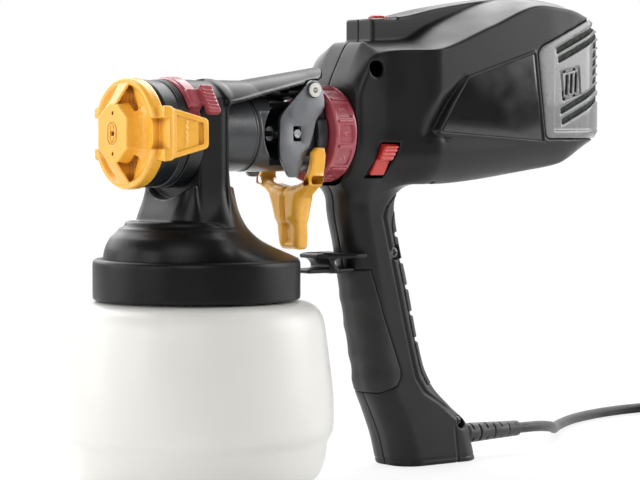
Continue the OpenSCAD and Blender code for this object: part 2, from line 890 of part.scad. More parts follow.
volute_x = shell_x + 48;
volute_w = 28;
field_x = volute_x + volute_w + 9;
field_len = 34;
bracket_r = motor_r + 3;
rear_bracket_x = field_x + field_len + 12;
rear_bracket_r = motor_r - 2;
bearing_r = shaft_r + 4;
module outlet_duct() {
    $fn = 36;
    color("#4a4c4f")
    difference() {
        union() {
            on_axis() x_rod(shell_x, shell_x + 9.5, spigot_r + 2.5, $fn = 64);
            hull() {
                on_axis() x_rod(shell_x + 7, shell_x + 9.5, spigot_r + 1.5);
                translate([0, 0, axis_z + 10]) x_rod(shell_x + 17, shell_x + 18, 15.5);
            }
            hull() {
                translate([0, 0, axis_z + 10]) x_rod(shell_x + 17, shell_x + 18, 15.5);
                translate([0, 0, axis_z + 18]) x_rod(volute_x - 1, volute_x - 0.1, 15.5);
            }
        }
        on_axis() x_rod(shell_x - 1, shell_x + 9.6, spigot_r + run_gap);
        hull() {
            on_axis() x_rod(shell_x + 9, shell_x + 9.6, spigot_r - 1.5);
            translate([0, 0, axis_z + 10]) x_rod(shell_x + 17, shell_x + 18, 13);
        }
        hull() {
            translate([0, 0, axis_z + 10]) x_rod(shell_x + 17, shell_x + 18, 13);
            translate([0, 0, axis_z + 18]) x_rod(volute_x - 1, volute_x + 1, 13);
        }
    }
}
module volute() {
    color("#8a8d90")
    difference() {
        on_motor() x_rod(volute_x, volute_x + volute_w, volute_r);
        on_motor() x_rod(volute_x + 2, volute_x + volute_w - 2, volute_r - 2);
        on_motor() x_rod(volute_x + volute_w - 3, volute_x + volute_w + 1, 14);
        translate([0, 0, axis_z + 18]) x_rod(volute_x - 1, volute_x + 3, 13);
    }
}
module diffuser() {
    x = volute_x + volute_w / 2;
    color("#a0a3a6")
    on_motor() x_tube(x - 1, x + 1, volute_r - 2.1, 12);
}
module fan(x0, x1) {
    blades = 9;
    x_tube(x0, x0 + 1.5, fan_r, shaft_r);
    x_tube(x0, x1, 8, shaft_r);
    for (i = [0 : blades - 1]) {
        rotate([i * 360 / blades, 0, 0]) translate([0, 0, 7.5]) rotate([22, 0, 0])
            block([x0 + 1, -0.6, 0], [x1, 0.6, fan_r - 10.5]);
    }
}
module fan_front() {
    color("#c8cacc") on_motor() fan(volute_x + 3.5, volute_x + 11.5);
}
module fan_rear() {
    color("#c8cacc") on_motor() fan(volute_x + 16.5, volute_x + 24.5);
}
module motor_field() {
    color("#6b6e72")
    on_motor()
    difference() {
        intersection() {
            x_rod(field_x, field_x + field_len, motor_r);
            block([field_x, -motor_r + 3, -motor_r], [field_x + field_len, motor_r - 3, motor_r]);
        }
        x_rod(field_x - 1, field_x + field_len + 1, motor_r - 8);
    }
}
module motor_brackets() {
    post = 16;
    color("#9a9da0")
    on_motor() {
        x_tube(field_x - 8.8, field_x - 4, bracket_r, bearing_r + 0.02);
        x_tube(rear_bracket_x, rear_bracket_x + 4, rear_bracket_r, bearing_r + 0.02);
        for (y = [-post, post], z = [-post, post]) {
            translate([0, y, z]) {
                x_rod(field_x - 5, field_x - seat_gap, 2);
                x_rod(field_x + field_len + seat_gap, rear_bracket_x + 1, 2);
            }
        }
    }
}
module motor_bearings() {
    color("silver")
    on_motor() {
        x_tube(field_x - 8, field_x - 4, bearing_r, shaft_r + fit_gap);
        x_tube(rear_bracket_x, rear_bracket_x + 4, bearing_r, shaft_r + fit_gap);
    }
}
module armature() {
    color("#a8622d")
    on_motor() {
        x_tube(field_x + 1, field_x + field_len - 1, motor_r - 8.6, shaft_r);
        x_tube(field_x + field_len, field_x + field_len + 8, 9, shaft_r);
    }
}
module motor_shaft() {
    color("silver")
    on_motor() x_rod(volute_x + 2.5, field_x + field_len + 17, shaft_r);
}
module carbon_brushes() {
    x = field_x + field_len + 1.5;
    color("#202020")
    on_motor() both_sides() {
        block([x, 9.3, -3], [x + 5, 19, 3]);
        block([x + 4, 15, -3], [x + 10.4, 19, 3]);
    }
}
module air_filter() {
    color("#454a40")
    on_motor() block([filter_x, -pod_w + 13, -20], [filter_x + 10, pod_w - 13, 22]);
}
module switch_body() {
    color("#1c1d1f")
    block([rocker_x - 3, -16.9, rocker_z - 5], [rocker_x + 9, -4, rocker_z + 5.2]);
}

// ---- Moving pieces of the handle ----

module power_rocker() {
    color("firebrick")
    intersection() {
        rocker_window(0);
        translate([rocker_x - 20, rocker_y, rocker_z])
        rotate([rocker_tilt, 0, 0])
        rotate([90, 0, 90])
        linear_extrude(height = 40)
            polygon([[-2.5, -8.3], [-1, 0], [-2.9, 1], [-1.2, 9.3], [4.5, 9.3], [6, 0], [4.5, -8.3]]);
    }
}
module release_button() {
    color("firebrick")
    translate([button_x, 0, boss_top]) {
        translate([0, 0, -5]) cylinder(h = 7.2, r = button_r);
        translate([0, 0, -7]) cylinder(h = 2.1, r = button_r - 2);
    }
}
module button_spring() {
    color("silver")
    translate([button_x, 0, boss_top - 10.9])
    difference() {
        cylinder(h = 5.8, r = button_r - 0.4);
        translate([0, 0, -1]) cylinder(h = 8, r = button_r - 1.6);
    }
}
module rear_cover() {
    color("#3c4044")
    difference() {
        intersection() {
            difference() {
                pod_form(0);
                pod_form(shell_t);
            }
            cover_zone(run_gap);
        }
        for (i = [0 : 1]) {
            block(
                [cover_x + 6, -60, cover_high - 13 + i * 6],
                [cover_x + 90, 60, cover_high - 10 + i * 6]
            );
            block(
                [cover_x + 10, -60, cover_low + 5 + i * 6],
                [cover_x + 90, 60, cover_low + 8 + i * 6]
            );
        }
        for (i = [0 : 3]) {
            block(
                [cover_x + 32, -60, cover_low + 18 + i * 5.4],
                [cover_x + 90, 60, cover_low + 20.6 + i * 5.4]
            );
        }
    }
}

// ---- Cord ----

relief_z = 13.8;
relief_x = 179.4;
relief_flange = 3;
relief_end = relief_x + 6 + relief_len;
module strain_relief() {
    color("#1c1d1f")
    translate([0, 0, relief_z])
    difference() {
        union() {
            x_rod(relief_x - relief_flange, relief_x, cord_d / 2 + 3.4);
            x_rod(relief_x - eps, relief_x + 8, cord_d / 2 + 2.2);
            x_cone(relief_x + 8, relief_end, cord_d / 2 + 2.6, cord_d / 2 + 1.4);
        }
        for (x = [relief_x + 14 : 7 : relief_end - 5]) {
            block([x, -8, -1.2], [x + 3, -cord_d / 2 - 0.6, 1.2]);
            block([x, cord_d / 2 + 0.6, -1.2], [x + 3, 8, 1.2]);
        }
        x_rod(relief_x - 5, relief_end + 1, cord_d / 2 + 0.02);
    }
}
coil_x = 460;
coil_y = 46;
coil_pitch = cord_d + 0.8;
floor_z = cord_d / 2 + 0.1;
cord_points = [
    [relief_x - relief_flange, 0, relief_z], [205, 0, relief_z], [relief_end, 0, relief_z], [246, 0.8, 13.6],
    [261, 7, 11.8], [276, 19, 9], [290, 33, 6], [306, 49, 4], [325, 64, floor_z + 0.1], [350, 79, floor_z],
    [378, 90, floor_z], [405, 96, floor_z], [428, 97.5, floor_z], [coil_x - 2 * cord_d, coil_y + coil_r, floor_z],
    [coil_x - cord_d, coil_y + coil_r, floor_z]
];
// A smooth curve through the points, as a Catmull-Rom spline.
function pick(p, i) = p[max(0, min(len(p) - 1, i))];
function spline_point(p, i, t) =
    let (a = pick(p, i - 1), b = pick(p, i), c = pick(p, i + 1), d = pick(p, i + 2))
    0.5 * (2 * b + (c - a) * t + (2 * a - 5 * b + 4 * c - d) * t * t + (3 * b - a - 3 * c + d) * t * t * t);
function unit(v) = v / norm(v);
function ring_at(p, dir, r, sides) =
    let (side = unit(cross(dir, [0, 0, 1])), up = cross(side, dir))
    [for (k = [0 : sides - 1]) let (a = 90 + 360 * k / sides) p + r * (cos(a) * side + sin(a) * up)];
function run_length(p, i = 0) = i >= len(p) - 1 ? 0 : norm(p[i + 1] - p[i]) + run_length(p, i + 1);
// One closed tube along a list of centres.
module swept_tube(path, r, sides) {
    last = len(path) - 1;
    rings = [
        for (i = [0 : last])
            each ring_at(path[i], unit(path[min(i + 1, last)] - path[max(i - 1, 0)]), r, sides)
    ];
    walls = [
        for (i = [0 : last - 1], k = [0 : sides - 1])
            let (a = i * sides + k, b = i * sides + (k + 1) % sides)
            each [[a, b, b + sides], [a, b + sides, a + sides]]
    ];
    first_cap = [for (k = [1 : sides - 2]) [0, k + 1, k]];
    last_cap = [for (k = [1 : sides - 2]) [last * sides, last * sides + k, last * sides + k + 1]];
    polyhedron(points = rings, faces = concat(walls, first_cap, last_cap), convexity = 8);
}
steps = 3;
cord_path = concat(
    [for (i = [0 : len(cord_points) - 2], s = [0 : steps - 1]) spline_point(cord_points, i, s / steps)],
    [cord_points[len(cord_points) - 1]]
);
module cord_run() {
    color("#1c1d1f") swept_tube(cord_path, cord_d / 2, 10);
}
// The coil spirals in on the floor, climbs a layer in half a turn and spirals out again.
coil_turns = 6.25;
turns_in = 3;
loop_rings = 24;
coil_tail = 30;
function coil_radius(t) = t < turns_in + 0.25
    ? coil_r - coil_pitch * t
    : coil_r - coil_pitch * (turns_in + 0.25) + coil_pitch * (t - turns_in - 0.25);
function coil_lift(t) = max(0, min(1, (t - turns_in) * 2));
function coil_point(t) =
    let (a = 90 - 360 * t, r = coil_radius(t))
    [coil_x + r * cos(a), coil_y + r * sin(a), floor_z + coil_pitch * coil_lift(t)];
coil_loops = [for (i = [0 : coil_turns * loop_rings]) coil_point(i / loop_rings)];
coil_end = coil_point(coil_turns);
coil_path = concat(
    [[coil_x - cord_d, coil_y + coil_r, floor_z]],
    coil_loops,
    [for (y = [1, cord_d, coil_tail / 2, coil_tail]) coil_end - [0, y, 0]]
);
coil_gap = min([
    for (i = [0 : len(coil_loops) - 1], j = [i + loop_rings / 2 : 1 : len(coil_loops) - 1])
        norm(coil_loops[i] - coil_loops[j])
]) - cord_d;
echo(coil_least_gap_mm = coil_gap);
echo(cord_length_mm = run_length(cord_path) + run_length(coil_path));
module cord_coil() {
    color("#1c1d1f") swept_tube(coil_path, cord_d / 2, 6);
}
plug_at = coil_end - [0, coil_tail, 0];
module plug_body() {
    half = plug_at[2];
    color("#1c1d1f")
    translate(plug_at)
    union() {
        y_rod(-8, 0, cord_d / 2 + 0.6);
        hull() {
            translate([0, -8, 0]) y_rod(-1, 0, cord_d / 2 + 2);
            for (z = [-1, 1] * (half - 7.5)) {
                translate([0, -14, z]) y_rod(-1, 0, 7.5, $fn = 32);
            }
        }
        hull() {
            for (z = [-1, 1] * (half - 7.5)) {
                translate([0, 0, z]) y_rod(-plug_len - 4, -14, 7.5, $fn = 32);
            }
        }
    }
}
module plug_blades() {
    spacing = 12.7;
    width = 6.35;
    thickness = 1.5;
    color("silver")
    for (z = [-1, 1] * spacing / 2) {
        translate(plug_at + [0, -plug_len - 4 - blade_len, z])
            block([-width / 2, 0, -thickness / 2], [width / 2, blade_len - eps, thickness / 2]);
    }
}

cup();
lid_seal();
lid();
frame();
barrel();
valve_body();
rear_spigot();
fluid_tip();
suction_tube();
tube_socket();
air_valve();
needle_packing();
packing_nut();
union_ring();
tip_seal();
pivot_pin();
spigot_seal();
needle();
cross_pin();
needle_spring();
trigger();
trigger_plates();
air_cap();
width_ring();
flow_ring();
housing_near();
housing_far();
panel_near();
panel_far();
outlet_duct();
volute();
diffuser();
motor_field();
motor_brackets();
motor_bearings();
carbon_brushes();
air_filter();
switch_body();
grip_front();
grip_rear();
finger_guard();
housing_screws();
strain_relief();
cord_run();
cord_coil();
plug_body();
plug_blades();
armature();
motor_shaft();
fan_front();
fan_rear();
rear_cover();
power_rocker();
release_button();
button_spring();
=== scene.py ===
"""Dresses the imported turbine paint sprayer: moulded shells, turned rings, grips, cord and finishes.

Lengths inside the making functions are millimetres in the frame's own axes, and meshes are stored in metres.
"""

import math

import bmesh
import bpy
import numpy as np
from bpy.props import FloatProperty, FloatVectorProperty, IntProperty, PointerProperty
from mathutils import Matrix, Vector


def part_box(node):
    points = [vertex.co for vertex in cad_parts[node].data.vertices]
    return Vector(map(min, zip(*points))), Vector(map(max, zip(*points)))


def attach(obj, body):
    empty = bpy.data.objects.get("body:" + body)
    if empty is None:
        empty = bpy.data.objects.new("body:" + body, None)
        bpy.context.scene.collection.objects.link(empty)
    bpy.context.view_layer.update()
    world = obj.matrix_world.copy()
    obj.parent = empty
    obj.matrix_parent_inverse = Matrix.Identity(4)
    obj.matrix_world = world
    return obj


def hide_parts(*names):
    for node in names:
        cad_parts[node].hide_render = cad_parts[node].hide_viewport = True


bl_info = {
    "name": "Turbine Paint Sprayer",
    "version": (1, 0, 0),
    "blender": (4, 5, 0),
    "location": "3D View > Sidebar > Sprayer",
    "description": "Builds the visible shells, rings, grips, cord and finishes of a turbine paint sprayer",
    "category": "Add Mesh",
}

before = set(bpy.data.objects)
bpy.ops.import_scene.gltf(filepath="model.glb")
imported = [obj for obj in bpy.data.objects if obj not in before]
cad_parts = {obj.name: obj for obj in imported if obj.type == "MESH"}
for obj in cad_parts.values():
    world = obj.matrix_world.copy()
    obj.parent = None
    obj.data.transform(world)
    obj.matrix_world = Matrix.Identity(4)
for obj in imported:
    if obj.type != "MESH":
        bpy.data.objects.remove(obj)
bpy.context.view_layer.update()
MM = 0.001


def mm_box(node):
    """Lowest and highest corner of a CAD node in millimetres."""
    low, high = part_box(node)
    return Vector(low) / MM, Vector(high) / MM


def mm_centre(node):
    """Middle of a CAD node's box in millimetres."""
    low, high = mm_box(node)
    return (low + high) / 2


# Places taken from the frame.
AXIS_Z = mm_centre("barrel").z
MOTOR_Z = mm_centre("motor_shaft").z
COLLAR_LOW = mm_box("lid")[0].z
DOME_TOP = mm_box("lid")[1].z
CUP_TOP = mm_box("cup")[1].z
PIVOT = mm_centre("pivot_pin")
RING_FRONT, RING_BACK = mm_box("flow_ring")[0].x, mm_box("flow_ring")[1].x
SHELL_X = mm_box("housing_near")[0].x
POD_TOP = mm_box("housing_near")[1].z
POD_HALF = -mm_box("housing_near")[0].y
WIDTH_FRONT, WIDTH_BACK = mm_box("width_ring")[0].x, mm_box("width_ring")[1].x
UNION_FRONT, UNION_BACK = mm_box("union_ring")[0].x, mm_box("union_ring")[1].x
BUTTON = mm_centre("release_button")
RELIEF = mm_box("strain_relief")


# ---- Sizes and colours a user would change ----


class SprayerSizes(bpy.types.PropertyGroup):
    """How finely the shells and the turned pieces are made"""

    shell_step: FloatProperty(
        name="Shell step", description="Spacing of the points on the housing", default=0.7 * MM, unit="LENGTH"
    )
    lathe_segments: IntProperty(
        name="Lathe segments", description="Sides of a turned piece", default=144, min=24, max=256
    )


def tone(name, description, default):
    """A colour a user can change."""
    return FloatVectorProperty(name=name, description=description, default=default, subtype="COLOR")


class SprayerColours(bpy.types.PropertyGroup):
    """Base colours of the plastics and of the floor"""

    charcoal: tone("Charcoal", "Moulded housing", (0.0080, 0.0081, 0.0086))
    lid_grey: tone("Lid grey", "Lid and column", (0.0048, 0.0051, 0.0057))
    barrel_grey: tone("Barrel grey", "Barrel and valve body", (0.038, 0.040, 0.043))
    golden: tone("Golden yellow", "Air cap and trigger", (0.95, 0.47, 0.050))
    crimson: tone("Crimson", "Width ring and flow ring", (0.40, 0.065, 0.085))
    signal_red: tone("Signal red", "Rocker and release button", (0.56, 0.030, 0.022))
    cup_white: tone("Cup white", "Paint cup", (0.85, 0.84, 0.80))
    floor: tone("Floor", "Studio floor", (0.90, 0.90, 0.90))


# ---- Distance fields: negative inside, in millimetres ----


def smooth_min(a, b, k):
    """Joins two shapes with a fillet about k wide."""
    h = np.clip(0.5 + 0.5 * (b - a) / k, 0, 1)
    return b + (a - b) * h - k * h * (1 - h)


def smooth_max(a, b, k):
    """Keeps what two shapes share, with the edge between them rounded."""
    return -smooth_min(-a, -b, k)


def ramp(value, low, high):
    """0 below low, 1 above high, smooth between."""
    t = np.clip((value - low) / (high - low), 0, 1)
    return t * t * (3 - 2 * t)


def along(x, places, values):
    """A smooth curve through values at places, without overshoot."""
    places, values = np.asarray(places, float), np.asarray(values, float)
    steps = np.diff(places)
    slopes = np.diff(values) / steps
    middle = np.where(
        slopes[:-1] * slopes[1:] > 0, 2 * slopes[:-1] * slopes[1:] / (slopes[:-1] + slopes[1:] + 1e-12), 0
    )
    tangents = np.concatenate([[slopes[0]], middle, [slopes[-1]]])
    i = np.clip(np.searchsorted(places, x) - 1, 0, len(places) - 2)
    t = np.clip((x - places[i]) / steps[i], 0, 1)
    return (
        values[i] * (1 + 2 * t) * (1 - t) ** 2
        + values[i + 1] * t * t * (3 - 2 * t)
        + steps[i] * (tangents[i] * t * (1 - t) ** 2 + tangents[i + 1] * t * t * (t - 1))
    )


def rounded_box(u, v, half_u, half_v, corner):
    """Distance to a rectangle with rounded corners, centred on the origin."""
    qu, qv = np.abs(u) - half_u + corner, np.abs(v) - half_v + corner
    return np.hypot(np.maximum(qu, 0), np.maximum(qv, 0)) + np.minimum(np.maximum(qu, qv), 0) - corner


def block(x, y, z, low, high, corner=0.0):
    """Distance to a box between two corners, its edges rounded."""
    q = [
        np.abs(value - (a + b) / 2) - (b - a) / 2 + corner
        for value, a, b in ((x, low[0], high[0]), (y, low[1], high[1]), (z, low[2], high[2]))
    ]
    outside = np.sqrt(sum(np.maximum(part, 0) ** 2 for part in q))
    return outside + np.minimum(np.maximum(np.maximum(q[0], q[1]), q[2]), 0) - corner


def outline(u, v, points):
    """Distance to a polygon."""
    best = np.full(np.broadcast(u, v).shape, 1e9)
    sign = np.ones(best.shape)
    for i, (au, av) in enumerate(points):
        bu, bv = points[i - 1]
        eu, ev = bu - au, bv - av
        wu, wv = u - au, v - av
        t = np.clip((wu * eu + wv * ev) / (eu * eu + ev * ev), 0, 1)
        best = np.minimum(best, (wu - t * eu) ** 2 + (wv - t * ev) ** 2)
        c1, c2, c3 = v >= av, v < bv, eu * wv > ev * wu
        flips = (c1 & c2 & c3) | (~c1 & ~c2 & ~c3)
        sign = np.where(flips, -sign, sign)
    return sign * np.sqrt(best)


def path_distance(u, v, points):
    """Distance to an open line of points."""
    best = np.full(np.broadcast(u, v).shape, 1e9)
    for (au, av), (bu, bv) in zip(points[:-1], points[1:]):
        eu, ev = bu - au, bv - av
        t = np.clip(((u - au) * eu + (v - av) * ev) / (eu * eu + ev * ev), 0, 1)
        best = np.minimum(best, (u - au - t * eu) ** 2 + (v - av - t * ev) ** 2)
    return np.sqrt(best)


def extruded(flat, z, low, high, edge=0.0):
    """A flat distance given a thickness, its edges rounded."""
    wall = np.abs(z - (low + high) / 2) - (high - low) / 2
    qa, qb = flat + edge, wall + edge
    return np.hypot(np.maximum(qa, 0), np.maximum(qb, 0)) + np.minimum(np.maximum(qa, qb), 0) - edge


def about_axis(y, z):
    """Height over the barrel's axis, and distance from that axis."""
    h = z - AXIS_Z
    return h, np.hypot(y, h)


# ---- Meshes ----

SMOOTH_ROUNDS, SMOOTH_SHARE = 2, 0.6
SLOPE_PROBE, STEP_LIMIT, PULL_SHARE = 0.2, 0.5, 0.8
MOST_TRIANGLES = 185000
LATHE_CREASE = math.radians(32)
PLATE_CREASE = math.radians(38)
RIM_ANGLE = math.radians(60)
MERGE_DISTANCE = 0.004 * MM


def surface_net(field, low, high, step):
    """Points and quads on a field's zero level: one point for each cell that the level crosses."""
    axes = [np.arange(a - step, b + 2 * step, step) for a, b in zip(low, high)]
    x, y, z = np.meshgrid(*axes, indexing="ij", sparse=True)
    shape = tuple(len(axis) for axis in axes)
    values = np.broadcast_to(np.asarray(field(x, y, z), float), shape)
    inside = values < 0
    corners = [(i, j, k) for i in (0, 1) for j in (0, 1) for k in (0, 1)]
    part = [slice(0, -1), slice(1, None)]
    count = sum(inside[part[i], part[j], part[k]].astype(np.int8) for i, j, k in corners)
    cells = np.argwhere((count > 0) & (count < 8))
    index = np.full(count.shape, -1, np.int64)
    index[tuple(cells.T)] = np.arange(len(cells))
    at_corner = {c: values[cells[:, 0] + c[0], cells[:, 1] + c[1], cells[:, 2] + c[2]] for c in corners}
    total, crossings = np.zeros((len(cells), 3)), np.zeros(len(cells))
    for a in corners:
        for axis in range(3):
            if a[axis] == 1:
                continue
            b = tuple(1 if i == axis else a[i] for i in range(3))
            va, vb = at_corner[a], at_corner[b]
            crossed = (va < 0) != (vb < 0)
            t = np.where(crossed, va / np.where(crossed, va - vb, 1), 0)
            spot = np.array(a, float)[None, :].repeat(len(cells), 0)
            spot[:, axis] += t
            total[crossed] += spot[crossed]
            crossings += crossed
    points = (cells + total / crossings[:, None]) * step + np.array([axis[0] for axis in axes])
    quads = []
    for axis in range(3):
        u, w = (axis + 1) % 3, (axis + 2) % 3
        before = [slice(1, -1)] * 3
        after = [slice(1, -1)] * 3
        before[axis], after[axis] = slice(0, -1), slice(1, None)
        first, second = inside[tuple(before)], inside[tuple(after)]
        spots = np.argwhere(first != second)
        out = first[tuple(spots.T)]
        spots[:, u] += 1
        spots[:, w] += 1
        ring = []
        for du, dw in ((-1, -1), (0, -1), (0, 0), (-1, 0)):
            cell = spots.copy()
            cell[:, u] += du
            cell[:, w] += dw
            ring.append(index[tuple(cell.T)])
        quad = np.stack(ring, 1)
        quads.append(np.where(out[:, None], quad, quad[:, ::-1]))
    quads = np.concatenate(quads)
    return settle(points, quads, field, step), quads


def settle(points, quads, field, step):
    """Evens the points out, then puts them back on the field's zero level."""
    links = np.concatenate([quads[:, [i, (i + 1) % 4]] for i in range(4)])
    count = np.bincount(links[:, 0], minlength=len(points)) + 1e-9
    for _ in range(SMOOTH_ROUNDS):
        mean = np.stack(
            [np.bincount(links[:, 0], points[links[:, 1], i], len(points)) / count for i in range(3)], 1
        )
        points = points + (mean - points) * SMOOTH_SHARE
    nudge = step * SLOPE_PROBE
    here = np.asarray(field(*points.T), float)
    slope = np.stack(
        [np.asarray(field(*(points + nudge * np.eye(3)[i]).T), float) - here for i in range(3)], 1
    ) / nudge
    size = np.maximum((slope**2).sum(1), 0.3)
    move = np.clip(here / size, -STEP_LIMIT * step, STEP_LIMIT * step)
    return points - PULL_SHARE * move[:, None] * slope


def linked(name, data):
    """A new object in the scene for some data."""
    thing = bpy.data.objects.new(name, data)
    bpy.context.scene.collection.objects.link(thing)
    return thing


def add_mesh(name, points, faces, material):
    """A mesh object from points in millimetres and faces with the same number of corners."""
    mesh = bpy.data.meshes.new(name)
    points = np.asarray(points, float) * MM
    mesh.vertices.add(len(points))
    mesh.vertices.foreach_set("co", points.astype(np.float32).ravel())
    faces = np.asarray(faces, np.int32)
    count, corners = faces.shape
    mesh.loops.add(faces.size)
    mesh.loops.foreach_set("vertex_index", faces.ravel())
    mesh.polygons.add(count)
    mesh.polygons.foreach_set("loop_start", np.arange(count, dtype=np.int32) * corners)
    mesh.polygons.foreach_set("loop_total", np.full(count, corners, np.int32))
    mesh.polygons.foreach_set("use_smooth", np.ones(count, bool))
    mesh.update(calc_edges=True)
    mesh.materials.append(material)
    return linked(name, mesh)


def moulded(name, field, low, high, step, material):
    """A moulded piece from its distance field."""
    points, quads = surface_net(field, low, high, step)
    return add_mesh(name, points, quads, material)


def thin_out(piece, limit=MOST_TRIANGLES):
    """Joins small faces on the flat stretches until the piece is under a triangle count."""
    triangles = sum(len(p.vertices) - 2 for p in piece.data.polygons)
    if triangles <= limit:
        return piece
    decimate = piece.modifiers.new("thin", "DECIMATE")
    decimate.ratio = limit / triangles
    return as_plain_mesh(piece)


def as_plain_mesh(piece):
    """Turns the piece's modifiers into a plain mesh."""
    bpy.context.view_layer.update()
    evaluated = piece.evaluated_get(bpy.context.evaluated_depsgraph_get())
    mesh = bpy.data.meshes.new_from_object(evaluated)
    piece.modifiers.clear()
    old = piece.data
    if isinstance(old, bpy.types.Mesh):
        piece.data = mesh
        bpy.data.meshes.remove(old)
        mesh.name = piece.name
        return piece
    fresh = linked(piece.name + "_mesh", mesh)
    name = piece.name
    bpy.data.objects.remove(piece)
    fresh.name = name
    mesh.name = name
    return fresh


def soft_corners(points, cut, steps=5):
    """The points of a closed outline with each corner rounded; a point's third number is its own cut."""
    made = []
    for i, point in enumerate(points):
        here = Vector(point[:2])
        size = point[2] if len(point) > 2 else cut
        before, after = Vector(points[i - 1][:2]), Vector(points[(i + 1) % len(points)][:2])
        back, ahead = before - here, after - here
        if size <= 0 or back.length < 1e-6 or ahead.length < 1e-6:
            made.append(tuple(here))
            continue
        a = here + back.normalized() * min(size, back.length * 0.49)
        b = here + ahead.normalized() * min(size, ahead.length * 0.49)
        for s in range(steps + 1):
            t = s / steps
            made.append(tuple(a * (1 - t) ** 2 + here * 2 * t * (1 - t) + b * t * t))
    return made


def lathe(name, profile, material, axis="z", centre=(0, 0, 0), segments=None):
    """A piece turned from a closed outline of (radius, height) points."""
    segments = segments or bpy.context.scene.sprayer_sizes.lathe_segments
    angles = np.arange(segments) * 2 * math.pi / segments
    rings = []
    for radius, height in profile:
        radius = max(radius, 0.0)
        c, s = radius * np.cos(angles), radius * np.sin(angles)
        flat = np.full(segments, height)
        order = {"z": [c, s, flat], "x": [flat, c, s], "y": [c, flat, s]}
        rings.append(np.stack(order[axis], 1))
    points = np.concatenate(rings) + np.array(centre, float)
    count = len(profile)
    faces = []
    for i in range(count):
        j = (i + 1) % count
        if profile[i][0] <= 0 and profile[j][0] <= 0:
            continue
        k = np.arange(segments)
        n = (k + 1) % segments
        faces.append(np.stack([i * segments + k, i * segments + n, j * segments + n, j * segments + k], 1))
    piece = add_mesh(name, points, np.concatenate(faces), material)
    return tidy_normals(piece)


def tidy_normals(piece):
    """Merges doubled points, turns every face outwards and keeps the turned edges crisp."""
    shape = bmesh.new()
    shape.from_mesh(piece.data)
    bmesh.ops.remove_doubles(shape, verts=shape.verts, dist=MERGE_DISTANCE)
    bmesh.ops.recalc_face_normals(shape, faces=shape.faces)
    shape.to_mesh(piece.data)
    shape.free()
    piece.data.shade_smooth()
    piece.data.set_sharp_from_angle(angle=LATHE_CREASE)
    return piece


def plate(name, points, low, high, material, edge=0.4, holes=()):
    """A flat plate from low to high along Y, with an outline in X and Z, rounded edges and holes."""
    shape = bmesh.new()
    edges = []
    for loop in [points, *holes]:
        ring = [shape.verts.new(Vector((u, low, v)) * MM) for u, v in loop]
        edges += [shape.edges.new((ring[i - 1], ring[i])) for i in range(len(ring))]
    bmesh.ops.triangle_fill(shape, edges=edges, use_beauty=True)
    made = bmesh.ops.extrude_face_region(shape, geom=list(shape.faces))
    moved = [item for item in made["geom"] if isinstance(item, bmesh.types.BMVert)]
    bmesh.ops.translate(shape, verts=moved, vec=Vector((0, high - low, 0)) * MM)
    bmesh.ops.recalc_face_normals(shape, faces=shape.faces)
    rims = [e for e in shape.edges if e.is_manifold and e.calc_face_angle(0) > RIM_ANGLE]
    rims = [e for e in rims if abs((e.verts[0].co - e.verts[1].co).y) < 1e-7]
    bmesh.ops.bevel(shape, geom=rims, offset=edge * MM, segments=3, profile=0.5, affect="EDGES", clamp_overlap=True)
    mesh = bpy.data.meshes.new(name)
    shape.to_mesh(mesh)
    shape.free()
    mesh.materials.append(material)
    mesh.shade_smooth()
    mesh.set_sharp_from_angle(angle=PLATE_CREASE)
    return linked(name, mesh)


def join(name, pieces):
    """One object from several that share a body."""
    base = pieces[0]
    with bpy.context.temp_override(active_object=base, selected_editable_objects=pieces):
        bpy.ops.object.join()
    base.name = name
    base.data.name = name
    return base


def mirrored(piece, name):
    """A copy of a piece on the other side of the middle plane."""
    twin = piece.copy()
    twin.data = piece.data.copy()
    twin.name = name
    twin.data.name = name
    bpy.context.scene.collection.objects.link(twin)
    twin.data.transform(Matrix.Scale(-1, 4, (0, 1, 0)))
    twin.data.flip_normals()
    return twin


def settled(piece, body, replaces=()):
    """The piece rides on its body and stands for its CAD nodes, which it hides."""
    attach(piece, body)
    if replaces:
        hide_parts(*replaces)
    return piece


# ---- Finishes ----


# Pointiness range over which edges lighten, as wear and as painted highlight
SHARP_EDGES = (0.53, 0.60)
# Ambient occlusion range over which the painted recess shade fades in
RECESS_SHADE_SPAN = (0.28, 0.80)


def map_range(nodes, links, source, low, high, start, end):
    """A value from low to high as the source goes from start to end."""
    made = nodes.new("ShaderNodeMapRange")
    for label, value in (("From Min", start), ("From Max", end), ("To Min", low), ("To Max", high)):
        made.inputs[label].default_value = value
    links.new(source, made.inputs["Value"])
    return made.outputs["Result"]


